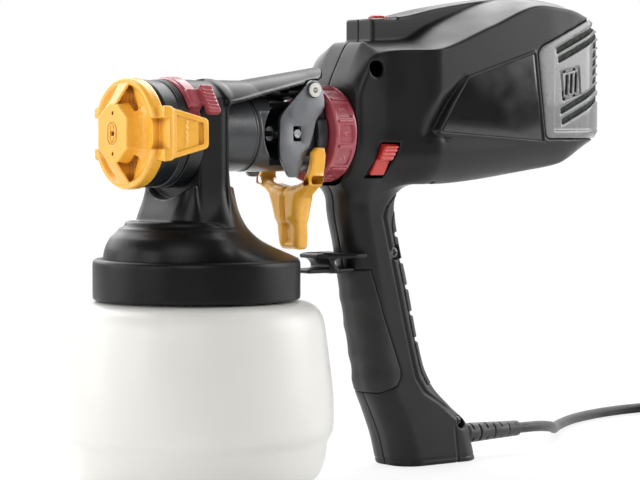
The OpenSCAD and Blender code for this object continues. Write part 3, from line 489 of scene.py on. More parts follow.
class Finish:
    """A node material built up in steps from the piece's own coordinates."""

    def __init__(self, name, colour, roughness, metallic=0.0):
        self.material = bpy.data.materials.new(name)
        self.material.use_nodes = True
        self.nodes = self.material.node_tree.nodes
        self.links = self.material.node_tree.links
        self.shader = self.nodes["Principled BSDF"]
        self.shader.inputs["Metallic"].default_value = metallic
        self.shader.inputs["Roughness"].default_value = roughness
        self.shader.inputs["Base Color"].default_value = (*colour, 1)
        self.where = self.nodes.new("ShaderNodeTexCoord").outputs["Object"]
        self.colour = colour
        self.height = None

    def noise(self, scale, detail=3.0, stretch=(1, 1, 1)):
        """A noise over the piece; scale is in waves for each metre."""
        mapping = self.nodes.new("ShaderNodeMapping")
        mapping.inputs["Scale"].default_value = stretch
        texture = self.nodes.new("ShaderNodeTexNoise")
        texture.inputs["Scale"].default_value = scale
        texture.inputs["Detail"].default_value = detail
        self.links.new(self.where, mapping.inputs["Vector"])
        self.links.new(mapping.outputs["Vector"], texture.inputs["Vector"])
        return texture.outputs["Fac"]

    def spread(self, value, low, high, start=0.3, end=0.7):
        """A value from low to high as a noise goes from start to end."""
        return map_range(self.nodes, self.links, value, low, high, start, end)

    def share_of(self, factor):
        """The finish's colour made darker or lighter."""
        return [min(1, c * factor) for c in self.colour]

    def mix_in(self, share, colour, start=None):
        """Mixes a colour over the base colour by a share; a start colour takes the base colour's place."""
        base = self.shader.inputs["Base Color"]
        mix = self.nodes.new("ShaderNodeMix")
        mix.data_type = "RGBA"
        if start:
            mix.inputs["A"].default_value = (*start, 1)
        else:
            self.links.new(base.links[0].from_socket, mix.inputs["A"])
        mix.inputs["B"].default_value = (*colour, 1)
        self.links.new(share, mix.inputs["Factor"])
        self.links.new(mix.outputs["Result"], base)
        return self

    def mottle(self, scale, darker, lighter, detail=4.0):
        """Varies the colour between a darker and a lighter share of itself."""
        share = self.spread(self.noise(scale, detail), 0, 1)
        return self.mix_in(share, self.share_of(lighter), self.share_of(darker))

    def edge_wear_and_highlight(self, lighter, amount):
        """Lightens the sharp edges: partly rubbed wear, partly a painted edge highlight."""
        geometry = self.nodes.new("ShaderNodeNewGeometry")
        edge = self.spread(geometry.outputs["Pointiness"], 0, amount, *SHARP_EDGES)
        return self.mix_in(edge, self.share_of(lighter))

    def sheen_patches(self, scale, low, high, stretch=(1, 1, 1)):
        """Varies the roughness between two values."""
        self.links.new(self.spread(self.noise(scale, 5.0, stretch), low, high), self.shader.inputs["Roughness"])
        return self

    def grain(self, scale, strength, depth, detail=2.0, stretch=(1, 1, 1)):
        """A fine relief on top of the reliefs before it."""
        bump = self.nodes.new("ShaderNodeBump")
        bump.inputs["Strength"].default_value = strength
        bump.inputs["Distance"].default_value = depth
        self.links.new(self.noise(scale, detail, stretch), bump.inputs["Height"])
        if self.height is not None:
            self.links.new(self.height, bump.inputs["Normal"])
        self.height = bump.outputs["Normal"]
        self.links.new(self.height, self.shader.inputs["Normal"])
        return self

    def painted_recess_shade(self, deep, reach):
        """Painted shade: darkens the colour in narrow recesses by ambient occlusion, where less light reaches."""
        hollow = self.nodes.new("ShaderNodeAmbientOcclusion")
        hollow.samples = 8
        hollow.inputs["Distance"].default_value = reach
        return self.mix_in(self.spread(hollow.outputs["AO"], 1, 0, *RECESS_SHADE_SPAN), deep)

    def with_socket(self, socket, value):
        """Sets one of the shader's own values."""
        self.shader.inputs[socket].default_value = value
        return self


def moulded_plastic(name, colour, roughness, grain=0.35, shine=0.5):
    """Satin moulded plastic with spark-eroded texture, faint flow marks and edges lightened partly by rubbing and
    partly as painted highlight.
    """
    return (
        Finish(name, colour, roughness)
        .mottle(38, 0.90, 1.12)
        .edge_wear_and_highlight(1.9, 0.35)
        .sheen_patches(55, roughness - 0.05, roughness + 0.07)
        .grain(2600, grain, 0.00006)
        .grain(160, 0.10, 0.0002, 3.0)
        .with_socket("Specular IOR Level", shine)
        .material
    )


def gloss_plastic(name, colour, roughness, deep=None):
    """Glossy coloured plastic with slight flow ripple, handling haze, edges lightened partly by wear and partly as
    painted highlight, and painted shade in its recesses.
    """
    # deep is the painted shade colour in recesses: half the base colour unless given
    deep = deep or [value * 0.5 for value in colour]
    return (
        Finish(name, colour, roughness)
        .mottle(30, 0.93, 1.05)
        .edge_wear_and_highlight(1.25, 0.4)
        .painted_recess_shade(deep, 0.0055)
        .sheen_patches(70, roughness - 0.04, roughness + 0.08)
        .grain(90, 0.12, 0.0003, 2.0)
        .grain(1500, 0.10, 0.00005)
        .with_socket("Coat Weight", 0.25)
        .with_socket("Coat Roughness", 0.12)
        .material
    )


def brushed_metal(name, colour, roughness, stretch=(1, 1, 1)):
    """Metal with a fine grain that the stretch draws out along an axis."""
    return (
        Finish(name, colour, roughness, metallic=1.0)
        .mottle(60, 0.88, 1.06)
        .sheen_patches(240, roughness - 0.08, roughness + 0.12, stretch)
        .grain(1200, 0.2, 0.00004, 2.0, stretch)
        .material
    )


def soft_rubber(name, colour, roughness=0.72):
    """Matt rubber with a fine grain and a dusty sheen."""
    return (
        Finish(name, colour, roughness)
        .mottle(45, 0.85, 1.25)
        .sheen_patches(80, roughness - 0.1, roughness + 0.08)
        .grain(1900, 0.5, 0.00008)
        .grain(300, 0.15, 0.0002)
        .with_socket("Sheen Weight", 0.12)
        .with_socket("Sheen Roughness", 0.5)
        .material
    )


def cup_plastic(name, colour):
    """Milky blow-moulded plastic that lets a little light in."""
    return (
        Finish(name, colour, 0.34)
        .mottle(14, 0.97, 1.02)
        .sheen_patches(20, 0.28, 0.42)
        .grain(60, 0.10, 0.0006, 3.0, (1, 1, 0.35))
        .grain(900, 0.08, 0.00006)
        .with_socket("Subsurface Weight", 0.35)
        .with_socket("Subsurface Radius", (0.02, 0.02, 0.022))
        .with_socket("Subsurface Scale", 0.25)
        .material
    )


class Finishes:
    """All the finishes, made once."""

    def __init__(self, colours):
        self.housing = moulded_plastic("housing_charcoal", colours.charcoal, 0.37, shine=0.34)
        self.lid = moulded_plastic("lid_charcoal", colours.lid_grey, 0.36, shine=0.20)
        self.frame = moulded_plastic("column_charcoal", colours.lid_grey, 0.34, shine=0.22)
        self.barrel = moulded_plastic("barrel_slate", colours.barrel_grey, 0.30, 0.2)
        self.union = moulded_plastic("union_black", (0.011, 0.012, 0.013), 0.30)
        self.cover = (
            Finish("cover_grey", (0.155, 0.155, 0.160), 0.26)
            .mottle(38, 0.92, 1.08)
            # Painted shade: the cover turns near black in its slots and recesses
            .painted_recess_shade((0.008, 0.008, 0.008), 0.004)
            .sheen_patches(55, 0.22, 0.33)
            .grain(2200, 0.2, 0.00006)
            .with_socket("Coat Weight", 0.3)
            .material
        )
        self.plate = brushed_metal("plate_grey_paint", (0.20, 0.205, 0.215), 0.42)
        self.panel = gloss_plastic("panel_gloss_black", (0.010, 0.010, 0.011), 0.14)
        # The third colour of a glossy finish is the painted shade colour in its recesses
        self.golden = gloss_plastic("golden_yellow", colours.golden, 0.27, (0.38, 0.11, 0.010))
        self.crimson = gloss_plastic("crimson_ring", colours.crimson, 0.26, (0.12, 0.005, 0.010))
        self.crimson_pale = gloss_plastic("crimson_number", (0.50, 0.16, 0.19), 0.3)
        self.signal = gloss_plastic("signal_red", colours.signal_red, 0.25)
        self.rubber = soft_rubber("grip_rubber", (0.0095, 0.0095, 0.0100))
        self.seal = soft_rubber("seal_rubber", (0.015, 0.015, 0.015), 0.6)
        self.cord = soft_rubber("cord_jacket", (0.018, 0.018, 0.019), 0.52)
        self.cup = cup_plastic("milky_cup", colours.cup_white)
        self.tube = cup_plastic("milky_tube", (0.72, 0.74, 0.70))
        self.packing = cup_plastic("white_packing", (0.80, 0.77, 0.70))
        self.steel = brushed_metal("plain_steel", (0.62, 0.63, 0.65), 0.24)
        self.brass = brushed_metal("turned_brass", (0.72, 0.50, 0.20), 0.26, (8, 1, 1))
        self.dark_steel = brushed_metal("blackened_screws", (0.10, 0.10, 0.105), 0.38)
        self.alu = brushed_metal("pressed_aluminium", (0.70, 0.71, 0.72), 0.34)
        self.core = brushed_metal("laminated_core", (0.20, 0.20, 0.21), 0.48, (30, 1, 1))
        self.copper = brushed_metal("varnished_copper", (0.55, 0.24, 0.09), 0.32, (1, 20, 20))
        self.carbon = soft_rubber("carbon_block", (0.02, 0.02, 0.02), 0.6)
        self.foam = (
            Finish("filter_foam", (0.045, 0.05, 0.042), 0.95)
            .mottle(300, 0.4, 1.5)
            .grain(420, 1.0, 0.001, 4.0)
            .material
        )


_made = {}


def finishes():
    """The finishes of this run."""
    if "finishes" not in _made:
        _made["finishes"] = Finishes(bpy.context.scene.sprayer_colours)
    return _made["finishes"]


# ---- Geometry Nodes ----


def new_tree(name, inputs):
    """A geometry tree with one geometry output and the given inputs as (name, socket type, default)."""
    tree = bpy.data.node_groups.new(name, "GeometryNodeTree")
    tree.interface.new_socket(name="Geometry", in_out="OUTPUT", socket_type="NodeSocketGeometry")
    tree.interface.new_socket(name="Geometry", in_out="INPUT", socket_type="NodeSocketGeometry")
    for label, kind, default in inputs:
        socket = tree.interface.new_socket(name=label, in_out="INPUT", socket_type=kind)
        if default is not None:
            socket.default_value = default
    return tree


def node(tree, kind, **settings):
    """A node added to a tree, with its settings."""
    made = tree.nodes.new(kind)
    for key, value in settings.items():
        setattr(made, key, value)
    return made


def finish_tree(tree, geometry, start):
    """Ends a tree in Realize Instances and Set Material."""
    realize = node(tree, "GeometryNodeRealizeInstances")
    paint = node(tree, "GeometryNodeSetMaterial")
    end = node(tree, "NodeGroupOutput")
    tree.links.new(geometry, realize.inputs["Geometry"])
    tree.links.new(realize.outputs["Geometry"], paint.inputs["Geometry"])
    tree.links.new(start.outputs["Material"], paint.inputs["Material"])
    tree.links.new(paint.outputs["Geometry"], end.inputs["Geometry"])


def copies_tree():
    """Copies of a source object in a row: each is moved by Step and turned by Turn more than the last."""
    if "copies" in _made:
        return _made["copies"]
    tree = new_tree(
        "copies_in_a_row",
        [
            ("Source", "NodeSocketObject", None),
            ("Count", "NodeSocketInt", 3),
            ("Centre", "NodeSocketVector", (0.0, 0.0, 0.0)),
            ("Step", "NodeSocketVector", (0.0, 0.0, 0.0)),
            ("Turn", "NodeSocketVector", (0.0, 0.0, 0.0)),
            ("Material", "NodeSocketMaterial", None),
        ],
    )
    start = node(tree, "NodeGroupInput")
    source = node(tree, "GeometryNodeObjectInfo", transform_space="ORIGINAL")
    back = node(tree, "ShaderNodeVectorMath", operation="SCALE")
    back.inputs["Scale"].default_value = -1.0
    centred = node(tree, "GeometryNodeTransform")
    index = node(tree, "GeometryNodeInputIndex")
    moved = node(tree, "ShaderNodeVectorMath", operation="SCALE")
    placed = node(tree, "ShaderNodeVectorMath", operation="ADD")
    turned = node(tree, "ShaderNodeVectorMath", operation="SCALE")
    points = node(tree, "GeometryNodePoints")
    copies = node(tree, "GeometryNodeInstanceOnPoints")
    link = tree.links.new
    link(start.outputs["Source"], source.inputs["Object"])
    link(start.outputs["Centre"], back.inputs[0])
    link(source.outputs["Geometry"], centred.inputs["Geometry"])
    link(back.outputs[0], centred.inputs["Translation"])
    link(start.outputs["Step"], moved.inputs[0])
    link(index.outputs[0], moved.inputs["Scale"])
    link(start.outputs["Centre"], placed.inputs[0])
    link(moved.outputs[0], placed.inputs[1])
    link(start.outputs["Turn"], turned.inputs[0])
    link(index.outputs[0], turned.inputs["Scale"])
    link(start.outputs["Count"], points.inputs["Count"])
    link(placed.outputs[0], points.inputs["Position"])
    link(points.outputs[0], copies.inputs["Points"])
    link(centred.outputs["Geometry"], copies.inputs["Instance"])
    link(turned.outputs[0], copies.inputs["Rotation"])
    finish_tree(tree, copies.outputs["Instances"], start)
    _made["copies"] = tree
    return tree


def tube_tree():
    """A round tube along the object's own line of points."""
    if "tube" in _made:
        return _made["tube"]
    tree = new_tree(
        "tube_along_line",
        [
            ("Radius", "NodeSocketFloat", 0.001),
            ("Sides", "NodeSocketInt", 16),
            ("Material", "NodeSocketMaterial", None),
        ],
    )
    start = node(tree, "NodeGroupInput")
    curve = node(tree, "GeometryNodeMeshToCurve")
    profile = node(tree, "GeometryNodeCurvePrimitiveCircle")
    tube = node(tree, "GeometryNodeCurveToMesh")
    tube.inputs["Fill Caps"].default_value = True
    smooth = node(tree, "GeometryNodeSetShadeSmooth")
    link = tree.links.new
    link(start.outputs["Geometry"], curve.inputs["Mesh"])
    link(start.outputs["Radius"], profile.inputs["Radius"])
    link(start.outputs["Sides"], profile.inputs["Resolution"])
    link(curve.outputs["Curve"], tube.inputs["Curve"])
    link(profile.outputs["Curve"], tube.inputs["Profile Curve"])
    link(tube.outputs["Mesh"], smooth.inputs["Geometry"])
    finish_tree(tree, smooth.outputs["Geometry"], start)
    _made["tube"] = tree
    return tree


def grow(piece, tree, **values):
    """Runs a tree on a piece with named inputs and keeps the result as a plain mesh."""
    modifier = piece.modifiers.new(tree.name, "NODES")
    modifier.node_group = tree
    sockets = {item.name: item.identifier for item in tree.interface.items_tree if item.in_out == "INPUT"}
    for label, value in values.items():
        modifier[sockets[label]] = value
    return as_plain_mesh(piece)


def empty_piece(name, points=((0, 0, 0),)):
    """An object whose mesh is a line of points, for a tree to work on."""
    mesh = bpy.data.meshes.new(name)
    points = [tuple(value * MM for value in point) for point in points]
    mesh.from_pydata(points, [(i, i + 1) for i in range(len(points) - 1)], [])
    return linked(name, mesh)


def row_of(name, source, count, material, step=(0, 0, 0), turn=(0, 0, 0), centre=(0, 0, 0)):
    """Copies of a source piece, made by the row tree; the source is removed."""
    piece = grow(
        empty_piece(name),
        copies_tree(),
        Source=source,
        Count=count,
        Centre=[value * MM for value in centre],
        Step=[value * MM for value in step],
        Turn=list(turn),
        Material=material,
    )
    bpy.data.objects.remove(source)
    return piece


def tube_along(name, points, radius, material, sides=16):
    """A round tube along points."""
    return grow(empty_piece(name, points), tube_tree(), Radius=radius * MM, Sides=sides, Material=material)


# ---- Camera and stage, in metres ----

CAMERA_PLACE = (-0.72355, -1.05064, 0.185)
CAMERA_TURN, CAMERA_PITCH = math.radians(-37.5), math.radians(2.43)
LAMP_TARGET = Vector((0.07, 0, 0.15))
LAMPS = [  # name, place, side and power in watts
    ("back_softbox", (0.0, 1.25, 1.15), 1.7, 24),
    ("right_top_softbox", (0.95, 0.45, 1.1), 1.0, 12),
    ("left_strip", (-1.25, 0.95, 0.5), 0.9, 8),
    ("front_key", (-0.95, -1.1, 1.0), 1.0, 9),
    ("nozzle_strip", (-1.6, -0.1, 0.55), 0.7, 5),
    ("right_strip", (1.35, -0.7, 0.65), 0.9, 15),
]
FLOOR_REACH = 4.0 / MM
FLOOR_DROP = 0.0004
BRIGHT_SIDE = (0.609, 0.793, 0.0)


class SPRAYER_OT_camera(bpy.types.Operator):
    """Sets the camera that looks at the nozzle side from low in front"""

    bl_idname = "sprayer.camera"
    bl_label = "Camera"

    def execute(self, context):
        data = bpy.data.cameras.new("studio_camera")
        data.sensor_width = 36
        data.lens = 135
        camera = linked("studio_camera", data)
        camera.location = CAMERA_PLACE
        camera.rotation_euler = (math.pi / 2 - CAMERA_PITCH, 0, CAMERA_TURN)
        context.scene.camera = camera
        return {"FINISHED"}


class SPRAYER_OT_stage(bpy.types.Operator):
    """Lays the pale floor and sets soft lamps round the sprayer"""

    bl_idname = "sprayer.stage"
    bl_label = "Stage"

    def execute(self, context):
        self.floor(context.scene.sprayer_colours.floor)
        self.world()
        for lamp in LAMPS:
            self.lamp(*lamp)
        return {"FINISHED"}

    def floor(self, colour):
        """A pale ground that fades into plain white away from the sprayer."""
        r = FLOOR_REACH
        ground = add_mesh("studio_floor", [(-r, -r, 0), (r, -r, 0), (r, r, 0), (-r, r, 0)], [(0, 1, 2, 3)], None)
        ground.location.z = -FLOOR_DROP
        finish = Finish("studio_floor", colour, 0.7).mottle(3, 0.99, 1.01)
        nodes, links = finish.nodes, finish.links
        path = nodes.new("ShaderNodeLightPath")
        glow = nodes.new("ShaderNodeEmission")
        glow.inputs["Color"].default_value = (1, 1, 1, 1)
        mix = nodes.new("ShaderNodeMixShader")
        share = nodes.new("ShaderNodeMath")
        share.operation = "MULTIPLY"
        distance = nodes.new("ShaderNodeVectorMath")
        distance.operation = "LENGTH"
        links.new(finish.where, distance.inputs[0])
        fade = map_range(nodes, links, distance.outputs["Value"], 0.80, 1.0, 0.45, 1.6)
        links.new(fade, share.inputs[1])
        links.new(path.outputs["Is Camera Ray"], share.inputs[0])
        links.new(share.outputs[0], mix.inputs["Fac"])
        links.new(finish.shader.outputs["BSDF"], mix.inputs[1])
        links.new(glow.outputs["Emission"], mix.inputs[2])
        links.new(mix.outputs["Shader"], nodes["Material Output"].inputs["Surface"])
        ground.data.materials.clear()
        ground.data.materials.append(finish.material)

    def world(self):
        """A white surround that lights the sprayer more from behind than from in front."""
        world = bpy.data.worlds.new("studio_world")
        bpy.context.scene.world = world
        world.use_nodes = True
        nodes, links = world.node_tree.nodes, world.node_tree.links
        path = nodes.new("ShaderNodeLightPath")
        where = nodes.new("ShaderNodeTexCoord")
        facing = nodes.new("ShaderNodeVectorMath")
        facing.operation = "DOT_PRODUCT"
        facing.inputs[1].default_value = BRIGHT_SIDE
        links.new(where.outputs["Generated"], facing.inputs[0])

        def pick(share, without, given):
            """One value without the share and another with it."""
            made = nodes.new("ShaderNodeMix")
            links.new(share, made.inputs["Factor"])
            links.new(without, made.inputs["A"])
            if isinstance(given, float):
                made.inputs["B"].default_value = given
            else:
                links.new(given, made.inputs["B"])
            return made.outputs["Result"]

        seen = nodes.new("ShaderNodeMath")
        seen.operation = "MAXIMUM"
        links.new(path.outputs["Is Camera Ray"], seen.inputs[0])
        links.new(path.outputs["Is Transmission Ray"], seen.inputs[1])
        soft = map_range(nodes, links, facing.outputs["Value"], 0.06, 0.34, -0.3, 0.5)
        mirror = map_range(nodes, links, facing.outputs["Value"], 0.05, 0.9, -0.2, 0.6)
        glossy = pick(path.outputs["Is Glossy Ray"], soft, mirror)
        links.new(pick(seen.outputs[0], glossy, 1.0), nodes["Background"].inputs["Strength"])
        nodes["Background"].inputs["Color"].default_value = (1, 1, 1, 1)

    def lamp(self, name, place, size, power):
        """A square soft lamp turned to the sprayer."""
        data = bpy.data.lights.new(name, "AREA")
        data.shape = "SQUARE"
        data.size = size
        data.energy = power
        lamp = linked(name, data)
        lamp.location = place
        lamp.rotation_euler = (LAMP_TARGET - Vector(place)).to_track_quat("-Z", "Y").to_euler()


# ---- Cord, coil and plug ----

RELIEF_START, RELIEF_END = RELIEF[0].x, RELIEF[1].x
RELIEF_Z = (RELIEF[0].z + RELIEF[1].z) / 2
CORD_R = 3.2
FLOOR_Z = CORD_R + 0.1
COIL_CENTRE = (460, 46)
COIL_R = 51
COIL_PITCH = 2 * CORD_R + 0.8
COIL_TURNS = 6.25
TURNS_IN = 3
COIL_TAIL = 30
COIL_POINTS = 48
PLUG_LENGTH = 30
CORD_POINTS = [
    (RELIEF_START, 0, RELIEF_Z),
    (205, 0, RELIEF_Z),
    (RELIEF_END, 0, RELIEF_Z),
    (246, 0.8, 13.6),
    (261, 7, 11.8),
    (276, 19, 9),
    (290, 33, 6),
    (306, 49, 4),
    (325, 64, FLOOR_Z + 0.1),
    (350, 79, FLOOR_Z),
    (378, 90, FLOOR_Z),
    (405, 96, FLOOR_Z),
    (428, 97.5, FLOOR_Z),
    (COIL_CENTRE[0] - 4 * CORD_R, COIL_CENTRE[1] + COIL_R, FLOOR_Z),
    (COIL_CENTRE[0] - 2 * CORD_R, COIL_CENTRE[1] + COIL_R, FLOOR_Z),
]


def spline(points, steps):
    """Points along a Catmull-Rom curve."""
    p = np.array(points, float)
    made = []
    for i in range(len(p) - 1):
        a, b, c, d = p[max(i - 1, 0)], p[i], p[i + 1], p[min(i + 2, len(p) - 1)]
        for t in np.arange(steps) / steps:
            made.append(
                0.5 * (2 * b + (c - a) * t + (2 * a - 5 * b + 4 * c - d) * t**2 + (3 * b - a - 3 * c + d) * t**3)
            )
    return [*made, p[-1]]


def coil_point(t):
    """A point on the coil after t turns: spirals in on the floor, climbs a layer and spirals out."""
    turning = TURNS_IN + 0.25
    radius = COIL_R - COIL_PITCH * min(t, turning) + COIL_PITCH * max(t - turning, 0)
    lift = min(max((t - TURNS_IN) * 2, 0), 1)
    angle = math.pi / 2 - 2 * math.pi * t
    return np.array(
        [
            COIL_CENTRE[0] + radius * math.cos(angle),
            COIL_CENTRE[1] + radius * math.sin(angle),
            FLOOR_Z + COIL_PITCH * lift,
        ]
    )


def cord_route():
    """The whole cord: the free run, the coil and the straight end at the plug."""
    coil = [coil_point(i / COIL_POINTS) for i in range(int(COIL_TURNS * COIL_POINTS) + 1)]
    end = coil[-1]
    tail = [end - np.array([0, y, 0]) for y in (1, 2 * CORD_R, COIL_TAIL / 2, COIL_TAIL)]
    return [*spline(CORD_POINTS, 6), *coil, *tail]


class SPRAYER_OT_cord(bpy.types.Operator):
    """Lays the power cord with its coil, strain relief and plug"""

    bl_idname = "sprayer.cord"
    bl_label = "Cord"

    def execute(self, context):
        route = cord_route()
        plug_at = route[-1]
        cord = tube_along("power_cord", route, CORD_R - 0.02, finishes().cord, sides=20)
        settled(cord, "handle", ["cord_run", "cord_coil"])
        body = self.plug(plug_at)
        settled(body, "handle", ["plug_body"])
        relief = self.relief()
        settled(relief, "handle", ["strain_relief"])
        return {"FINISHED"}

    def plug(self, at):
        """A moulded plug with finger ribs down its sides."""
        half = at[2] - 0.15
        low, high = at[1] - PLUG_LENGTH, at[1]

        def field(x, y, z):
            x, y, z = x - at[0], y - at[1], z - at[2]
            body = extruded(rounded_box(x, z, 7.3, half, 7.2), y, -PLUG_LENGTH, -12, 1.6)
            neck = np.hypot(x, z) - (CORD_R + 0.5 + 3.2 * ramp(-y, 2, 14))
            neck = smooth_max(neck, np.maximum(-14 - y, y), 0.6)
            ribs = 0.5 * ramp(np.abs(np.sin((y + 12) * math.pi / 2.4)), 0.5, 0.8)
            waist = ramp(-y, 13, 15) * (1 - ramp(-y, 25, 27))
            shape = smooth_min(body, neck, 3.0) + ribs * waist * ramp(np.abs(x), 4.5, 6.5)
            return np.maximum(shape, CORD_R - 0.3 - np.hypot(x, z) - 40 * ramp(-y, 3, 4))

        low, high = (at[0] - 8, low - 0.5, 0), (at[0] + 8, high + 0.5, 2 * at[2])
        return moulded("plug", field, low, high, 0.5, finishes().cord)

    def relief(self):
        """A tapered strain relief with staggered slots."""
        neck, pitch = RELIEF_START + 3, 5.6

        def field(x, y, z):
            z = z - RELIEF_Z
            radius = np.hypot(y, z)
            taper = radius - along(
                x, [RELIEF_START, neck + 8, neck + 10, neck + 30, RELIEF_END], [5.3, 5.3, 5.75, 5.1, 4.5]
            )
            flange = extruded(radius - 6.55, x, RELIEF_START, neck, 0.6)
            body = smooth_max(taper, np.maximum(RELIEF_START - x, x - RELIEF_END), 0.8)
            beat = (x - neck - 12) / pitch
            slot = np.abs(beat - np.round(beat)) * pitch - 0.55
            odd = np.mod(np.round(beat), 2)
            side = np.where(odd > 0.5, np.abs(y), np.abs(z))
            zone = np.maximum(neck + 11 - x, x - RELIEF_END + 4)
            slots = np.maximum(np.maximum(slot, 2.4 - side), np.maximum(zone, 4.5 - radius))
            body = smooth_max(body, -slots, 0.3)
            return np.maximum(np.minimum(body, flange), CORD_R - 0.05 - radius)

        low = (RELIEF_START, -7, RELIEF_Z - 7)
        return moulded("strain_relief_boot", field, low, (RELIEF_END, 7, RELIEF_Z + 7), 0.34, finishes().cord)


# ---- Cup and lid ----


class SPRAYER_OT_cup(bpy.types.Operator):
    """Makes the paint cup with its screw thread"""

    bl_idname = "sprayer.cup"
    bl_label = "Cup"

    def execute(self, context):
        wall = 2.0
        top = CUP_TOP
        outer = [
            (0, 0.6), (50, 0.6), (52.5, 0), (58.7, 0, 4), (67.7, 9, 9), (69.8, 25, 3), (73, 30, 4), (73, 46, 14),
            (71.8, 58, 14), (69.1, 79, 9), (67.6, 90.2, 5), (62.4, 97.2, 5), (51.5, 98.8, 4), (46.5, 99.8, 2),
            (46.5, top, 0.8),
        ]
        inner = [
            (44.5, top, 0.8), (44.5, 99, 2), (50, 96.9, 4), (61.0, 95.2, 5), (65.6, 89.5, 5), (67.1, 79, 9),
            (69.8, 58, 14), (71, 46, 14), (71, 30.5, 4), (67.8, 25.5, 3), (65.8, 10, 9), (57.5, wall, 4), (0, wall),
        ]
        profile = soft_corners([*outer, *inner], 0)
        cup = lathe("paint_cup", profile, finishes().cup)
        turns, pitch, sides, thread_low, thread_r = 2.1, 5.0, 72, 101, 46.9
        helix = []
        for i in range(int(turns * sides) + 1):
            angle = i * 2 * math.pi / sides
            sink = 1.3 * max(0, 1 - min(i, turns * sides - i) / 14)
            radius = thread_r - sink
            helix.append((radius * math.cos(angle), radius * math.sin(angle), thread_low + pitch * i / sides))
        thread = tube_along("cup_thread", helix, 1.25, finishes().cup, sides=10)
        settled(cup, "cup", ["cup"])
        settled(thread, "cup")
        return {"FINISHED"}


class SPRAYER_OT_lid(bpy.types.Operator):
    """Makes the lid's collar"""

    bl_idname = "sprayer.lid"
    bl_label = "Lid Collar"

    def execute(self, context):
        low, top, seat = COLLAR_LOW + 2.6, COLLAR_LOW + 24, CUP_TOP + 1.9
        collar = soft_corners(
            [
                (50.4, low, 0.5), (55.0, low, 0.8), (55.2, low + 1.5, 0.6), (55.2, top, 3.4), (50.5, top + 0.05, 0.6),
                (49.6, top - 0.4, 0.4), (48.9, top, 0.4), (0, top), (0, seat + 1.1), (41.5, seat + 1.1, 0.3),
                (41.5, seat, 0.3), (50.4, seat, 0.5),
            ],
            0,
        )
        ring = lathe("lid_collar", collar, finishes().lid)
        settled(ring, "head", ["lid"])
        return {"FINISHED"}


# ---- Column, saddle and fin ----

BARREL_R = 20.2
CAP_SWEEP = 34.7
NOWHERE = -99
FAR_INSIDE = -9


class SPRAYER_OT_column(bpy.types.Operator):
    """Makes the column that carries the barrel, with its saddle and fin"""

    bl_idname = "sprayer.column"
    bl_label = "Column"

    def execute(self, context):
        high = mm_box("frame")[1]
        low, high = (-54, -52, COLLAR_LOW + 22), (high.x, 52, high.z)
        piece = moulded("column", self.field, low, high, 0.7, finishes().frame)
        settled(thin_out(piece), "head", ["frame"])
        return {"FINISHED"}

    def flare(self, x, y, z):
        """The lid's dome in front, which turns into a hollow flare behind."""
        low = COLLAR_LOW + 24
        dome_z = [low - 2, low + 5, low + 11, low + 15, low + 16.6, low + 17.2, DOME_TOP]
        dome = np.hypot(x + 6.5, y) - along(z, dome_z, [44.6, 43.4, 40.6, 36.4, 35.2, 33.4, 32])
        dome = smooth_max(dome, z - DOME_TOP, 1.0)
        bell_z = [121, 122.6, 124.6, 127.5, 132, 139, 148, 160]
        bell = np.hypot(x - 3, y) - along(z, bell_z, [52, 48.5, 44, 37.5, 30, 23.5, 19.5, 17])
        behind = ramp(x, -17, 19)
        body = dome * 0.8 * (1 - behind) + bell * 0.62 * behind
        return smooth_max(body, np.maximum(low - 1 - z, z - 159), 0.4)

    def field(self, x, y, z):
        """The column on its flare, the saddle over the barrel, the fin with its keel and the pivot's boss."""
        saddle, arch = 28.5, 25.7
        side = np.abs(y)
        h, from_axis = about_axis(y, z)
        # The column's section widens towards the dome.
        drop = ramp(-z, -(DOME_TOP + 26), -(DOME_TOP - 2)) ** 2
        front, back, wide = -20 - 7 * drop, 8 + 2 * drop, 24 + 2.5 * drop
        section = rounded_box(x - (front + back) / 2, y, (back - front) / 2, wide, 8 + 5 * drop)
        recess = 1.3 * ramp(side, 21.5, 22.6) * (1 - ramp(x, 3.2, 4.6)) * ramp(x, -17, -14) * (1 - drop)
        section = section + recess
        dome = np.where(h > 0, from_axis - saddle, side - saddle)
        column = smooth_max(smooth_max(section, dome, 2.5), DOME_TOP - 16 - z, 0.5)
        column = smooth_min(column, self.flare(x, y, z), 1.5 + 8 * ramp(x, -14, 6))
        # The fin is an arched channel that rises towards the pivot.
        bend, tilt = 28, math.radians(9)
        rise = np.maximum(x - bend, 0) * math.tan(tilt)
        axis_gap = np.hypot(y, h - rise * 0.98)
        shell = np.maximum(axis_gap - saddle, arch - axis_gap)
        lower = (x - 8) * (16.5 / 74.6) + 15.5 - h
        plan = smooth_max(side - 24, (x - 80 + 0.036 * y * y) * 0.72, 3.0)
        rim = 0.9 * (1 - ramp(-lower, 1.2, 2.2))
        fin = smooth_max(smooth_max(shell - rim, lower, 0.8), np.maximum(plan, 4 - x), 1.2)
        keel = block(x, y, h, (5, -3, 23), (70, 3, 35), 0.8)
        keel = np.maximum(keel, axis_gap - saddle + 1)
        boss = extruded(np.hypot(x - PIVOT.x, z - PIVOT.z) - 5.6, y, -16.9, 16.9, 0.5)
        whole = smooth_min(smooth_min(column, fin, 3.0), smooth_min(keel, boss, 1.5), 1.0)
        # Room for the turning air cap, the barrel, the plates at the pivot and the suction tube.
        whole = np.maximum(whole, np.where(x < -13.6, CAP_SWEEP - from_axis, NOWHERE))
        whole = np.maximum(whole, BARREL_R + 0.1 - from_axis)
        ears = 6.2 - np.hypot(x - PIVOT.x, z - PIVOT.z)
        whole = np.maximum(whole, np.where(side > 16.95, ears, NOWHERE))
        return np.maximum(whole, 4.9 - np.hypot(x, y))


# ---- Barrel, union ring and valve body ----


